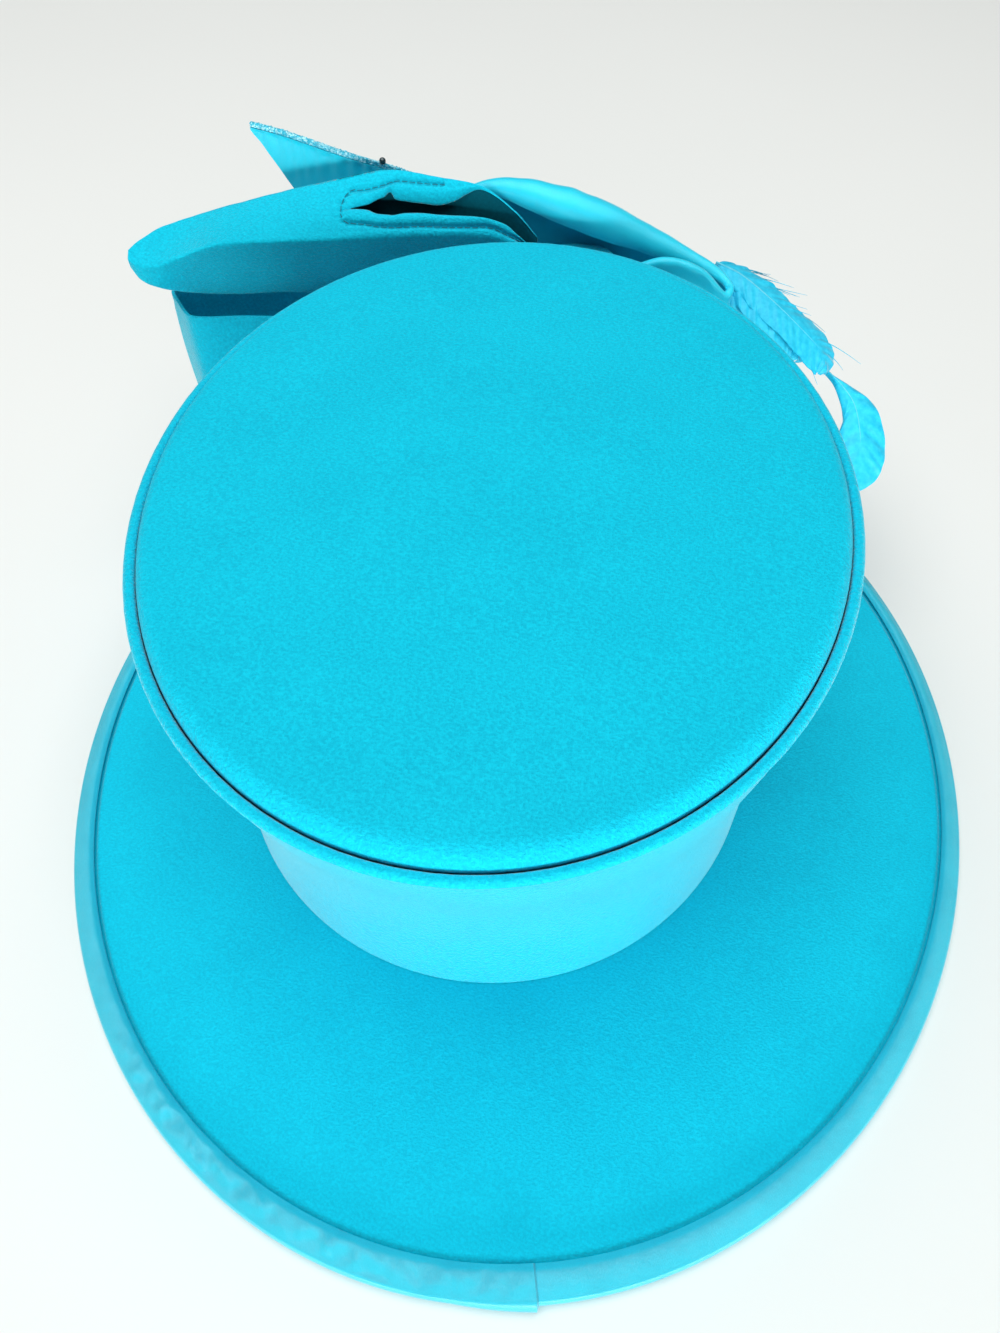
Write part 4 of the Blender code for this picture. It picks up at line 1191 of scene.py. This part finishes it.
# Feathers.
# Small dyed feathers: a thin quill, and on each side a row of soft barbs that point forward. Three lie over
# one another in the spray, and the fourth hangs on a bare quill below them.
FEATHER_WIDTH = 0.0165
HANGING_WIDTH = 0.021
SPRAY_REACH, SPRAY_FALL = 0.0450, 0.027
HANGING_REACH, HANGING_FALL = 0.0635, 0.055
VANE_HALF_THICKNESS = 0.00022
BARB_RADIUS = 0.00022
QUILL_RADIUS = 0.00040
QUILL_STEPS, QUILL_SIDES = 48, 8

FeatherRow = namedtuple("FeatherRow", "along side forward fall width")
SPRAY_ROWS = (
    FeatherRow(0.00, 0.00, 0.00, 0.00, 0.55), FeatherRow(0.20, 0.22, -0.06, 0.11, 0.85),
    FeatherRow(0.40, 0.48, -0.21, 0.30, 0.92), FeatherRow(0.60, 0.72, -0.33, 0.54, 1.00),
    FeatherRow(0.80, 0.92, -0.42, 0.78, 0.85), FeatherRow(0.92, 0.98, -0.48, 0.90, 0.50),
    FeatherRow(1.00, 1.00, -0.55, 1.00, 0.08),
)
HANGING_ROWS = (
    FeatherRow(0.00, 0.00, 0.00, 0.00, 0.06), FeatherRow(0.15, 0.22, -0.05, 0.15, 0.05),
    FeatherRow(0.30, 0.46, -0.16, 0.29, 0.05), FeatherRow(0.45, 0.73, -0.28, 0.42, 0.06),
    FeatherRow(0.55, 0.86, -0.36, 0.51, 0.45), FeatherRow(0.65, 0.93, -0.42, 0.59, 0.84),
    FeatherRow(0.75, 0.98, -0.53, 0.71, 1.00), FeatherRow(0.85, 0.99, -0.63, 0.80, 0.90),
    FeatherRow(0.93, 1.00, -0.72, 0.905, 0.55), FeatherRow(1.00, 1.00, -0.80, 1.00, 0.06),
)

down = Finish("down", Specular_IOR_Level=0.3, Sheen_Weight=0.4, Sheen_Roughness=0.3)
down_shade = down.spread(down.clouds(0.0022, 2.0), 0.3, 0.7)
down.colour(down.mix(down_shade, (0.008, 0.44, 0.66), (0.028, 0.56, 0.77)))
down.roughness(down.clouds(0.002) * 0.12 + 0.42)
quill_finish = Finish("quill", Specular_IOR_Level=0.4)
quill_finish.colour(quill_finish.mix(quill_finish.clouds(0.003), (0.02, 0.42, 0.58), (0.20, 0.70, 0.82)))
quill_finish.roughness(quill_finish.clouds(0.003) * 0.1 + 0.35)


def feather_frame(rows, reach, fall, start, spread, at):
    """The quill's place, its direction, the vane's direction across and its row."""
    def centre(where):
        row = between(rows, where)
        return start + Vector((reach * row.side, reach * row.forward, -fall * row.fall))
    path = (centre(min(at + 0.05, 1)) - centre(max(at - 0.05, 0))).normalized()
    across = (spread - path * spread.dot(path)).normalized()
    return centre(at), path, across, between(rows, at)


class Feather:
    """One feather's shape: its rows, its sizes, where it starts and which way its vane spreads."""

    def __init__(self, rows, reach, fall, width, start, spread, bare, seed):
        self.course = (rows, reach, fall, start, spread)
        self.width = width
        self.bare = bare
        self.seed = seed

    def barb_point(self, at, side, reach):
        """A point on the barb that leaves the quill here. Side is -1 or 1, and reach 1 is the vane's edge."""
        place, path, across, row = feather_frame(*self.course, at)
        normal = path.cross(across)
        size = self.width / 2 * row.width
        notch = 0.10 * max(ripple((at * 9, side * 4, self.seed), 1.0) - 0.12, 0) / 0.3
        streak = ripple((at * 21, side * 3 + self.seed, 0), 1.0) * 0.0010
        cup = -0.0022 * reach ** 2 + 0.0009 * reach * ripple((at * 5, side, self.seed), 1.0)
        outward = across * side * size * reach * (1 - notch)
        forward = path * size * 0.85 * reach ** 1.5
        return place + outward + forward + normal * (streak * min(reach * 3, 1) + cup)

    def make_vane(self, name):
        steps, half = 220, 9
        sections = []
        for i in range(steps + 1):
            at = self.bare + (1 - self.bare) * i / steps
            ahead = feather_frame(*self.course, at)
            lift = ahead[1].cross(ahead[2]) * VANE_HALF_THICKNESS
            strip = [self.barb_point(at, -1, j / half) for j in range(half, 0, -1)]
            strip += [self.barb_point(at, 1, j / half) for j in range(half + 1)]
            sections.append([point + lift for point in strip] + [point - lift for point in reversed(strip)])
        return cloth_body(name, sections, False, down.material)

    def wisp_lines(self, count, reach):
        """Loose barbs that stand out past the vane's edge."""
        dice = random.Random(self.seed)
        points, edges = [], []
        for i in range(count):
            at = dice.uniform(self.bare + 0.1, 0.97)
            side = 1 if dice.random() < 0.9 else -1
            length = dice.uniform(1.05, reach)
            bend = Vector((dice.uniform(0, 1), 0.3, dice.uniform(-0.2, 1.0))) * 0.006
            first = len(points)
            for j in range(9):
                t = j / 8
                out = min(0.5 + t * 0.5, 1) if length < 1.2 else 0.5 + (length - 0.5) * t
                place = self.barb_point(at, side, out)
                points.append(place + bend * t ** 2 * (length - 1))
                if j:
                    edges.append((first + j - 1, first + j))
        mesh = bpy.data.meshes.new("wisp_lines")
        mesh.from_pydata([tuple(point) for point in points], edges, [])
        return mesh


def make_barbs():
    """Turns lines into thin tapering barbs."""
    barbs = Growth("barbs", down.material, Barb_Radius=BARB_RADIUS)
    lines = barbs.node("GeometryNodeMeshToCurve", {}, Mesh=barbs.given["Geometry"])
    share = barbs.node("GeometryNodeSplineParameter", {})
    taper = barbs.node("ShaderNodeMapRange", {}, Value=share["Factor"], To_Min=1.0, To_Max=0.25)
    outline = barbs.node("GeometryNodeCurvePrimitiveCircle", {}, Resolution=5,
                         Radius=barbs.given["Barb Radius"])
    solid = barbs.node("GeometryNodeCurveToMesh", {}, Curve=lines["Curve"], Profile_Curve=outline["Curve"],
                       Scale=taper["Result"], Fill_Caps=True)
    barbs.end(solid["Mesh"])
    return barbs


BARBS = make_barbs()


def make_quill(feather, name):
    """A thin tapering rod along the whole feather."""
    sections = []
    for i in range(QUILL_STEPS + 1):
        place, path, across, _ = feather_frame(*feather.course, i / QUILL_STEPS)
        normal = path.cross(across)
        thick = QUILL_RADIUS * (1 - 0.8 * i / QUILL_STEPS)
        sections.append([
            place + (across * math.cos(turn) + normal * (math.sin(turn) + 0.6)) * thick
            for turn in [2 * math.pi / QUILL_SIDES * k for k in range(QUILL_SIDES)]
        ])
    return cloth_body(name, sections, False, quill_finish.material)


def make_feather(name, node, feather, wisps, wisp_reach):
    lines = add_object(name + "_wisps", feather.wisp_lines(wisps, wisp_reach))
    BARBS.grow_on(lines)
    vane, quill = feather.make_vane(name), make_quill(feather, name + "_quill")
    for part in (vane, quill, as_plain_mesh(lines, down.material)):
        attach(part, "root")
    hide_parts(node)


for name, node, rise, fan, size, wide, seed in (
    ("top_feather", "feather_top", 0.0045, 0.04, 1.04, 1.05, 1),
    ("middle_feather", "feather_middle", 0.0030, -0.09, 0.84, 1.15, 2),
    ("low_feather", "feather_low", 0.0016, -0.20, 0.58, 1.25, 3),
):
    turned = [
        row._replace(side=row.side * math.cos(fan) - row.forward * math.sin(fan),
                     forward=row.side * math.sin(fan) + row.forward * math.cos(fan))
        for row in SPRAY_ROWS
    ]
    root = GATHER_CENTRE + Vector((0.0015, 0.0015 * seed - 0.003, rise))
    shape = Feather(turned, SPRAY_REACH * size, SPRAY_FALL * size, FEATHER_WIDTH * wide, root,
                    Vector((0.35, 0.9, 0.2)), 0.02, seed)
    make_feather(name, node, shape, 10, 2.1)
hanging_root = GATHER_CENTRE + Vector((GATHER_RADIUS + 2 * SEWING_GAP, 0, -0.0055))
shape = Feather(HANGING_ROWS, HANGING_REACH, HANGING_FALL, HANGING_WIDTH, hanging_root,
                Vector((1, -0.15, -0.25)), 0.44, 4)
make_feather("hanging_feather", "feather_hanging", shape, 3, 1.15)

# Floor.
# A plain pale surface for the hat to stand on.
floor_finish = Finish("pale_floor", Roughness=0.8)
floor_finish.colour(floor_finish.mix(floor_finish.clouds(0.4), (0.78, 0.79, 0.76), (0.82, 0.83, 0.80)))
floor_mesh = bpy.data.meshes.new("floor")
floor_mesh.from_pydata([(-4, -4, 0), (4, -4, 0), (4, 4, 0), (-4, 4, 0)], [], [(0, 1, 2, 3)])
floor_mesh.materials.append(floor_finish.material)
floor = add_object("floor", floor_mesh)
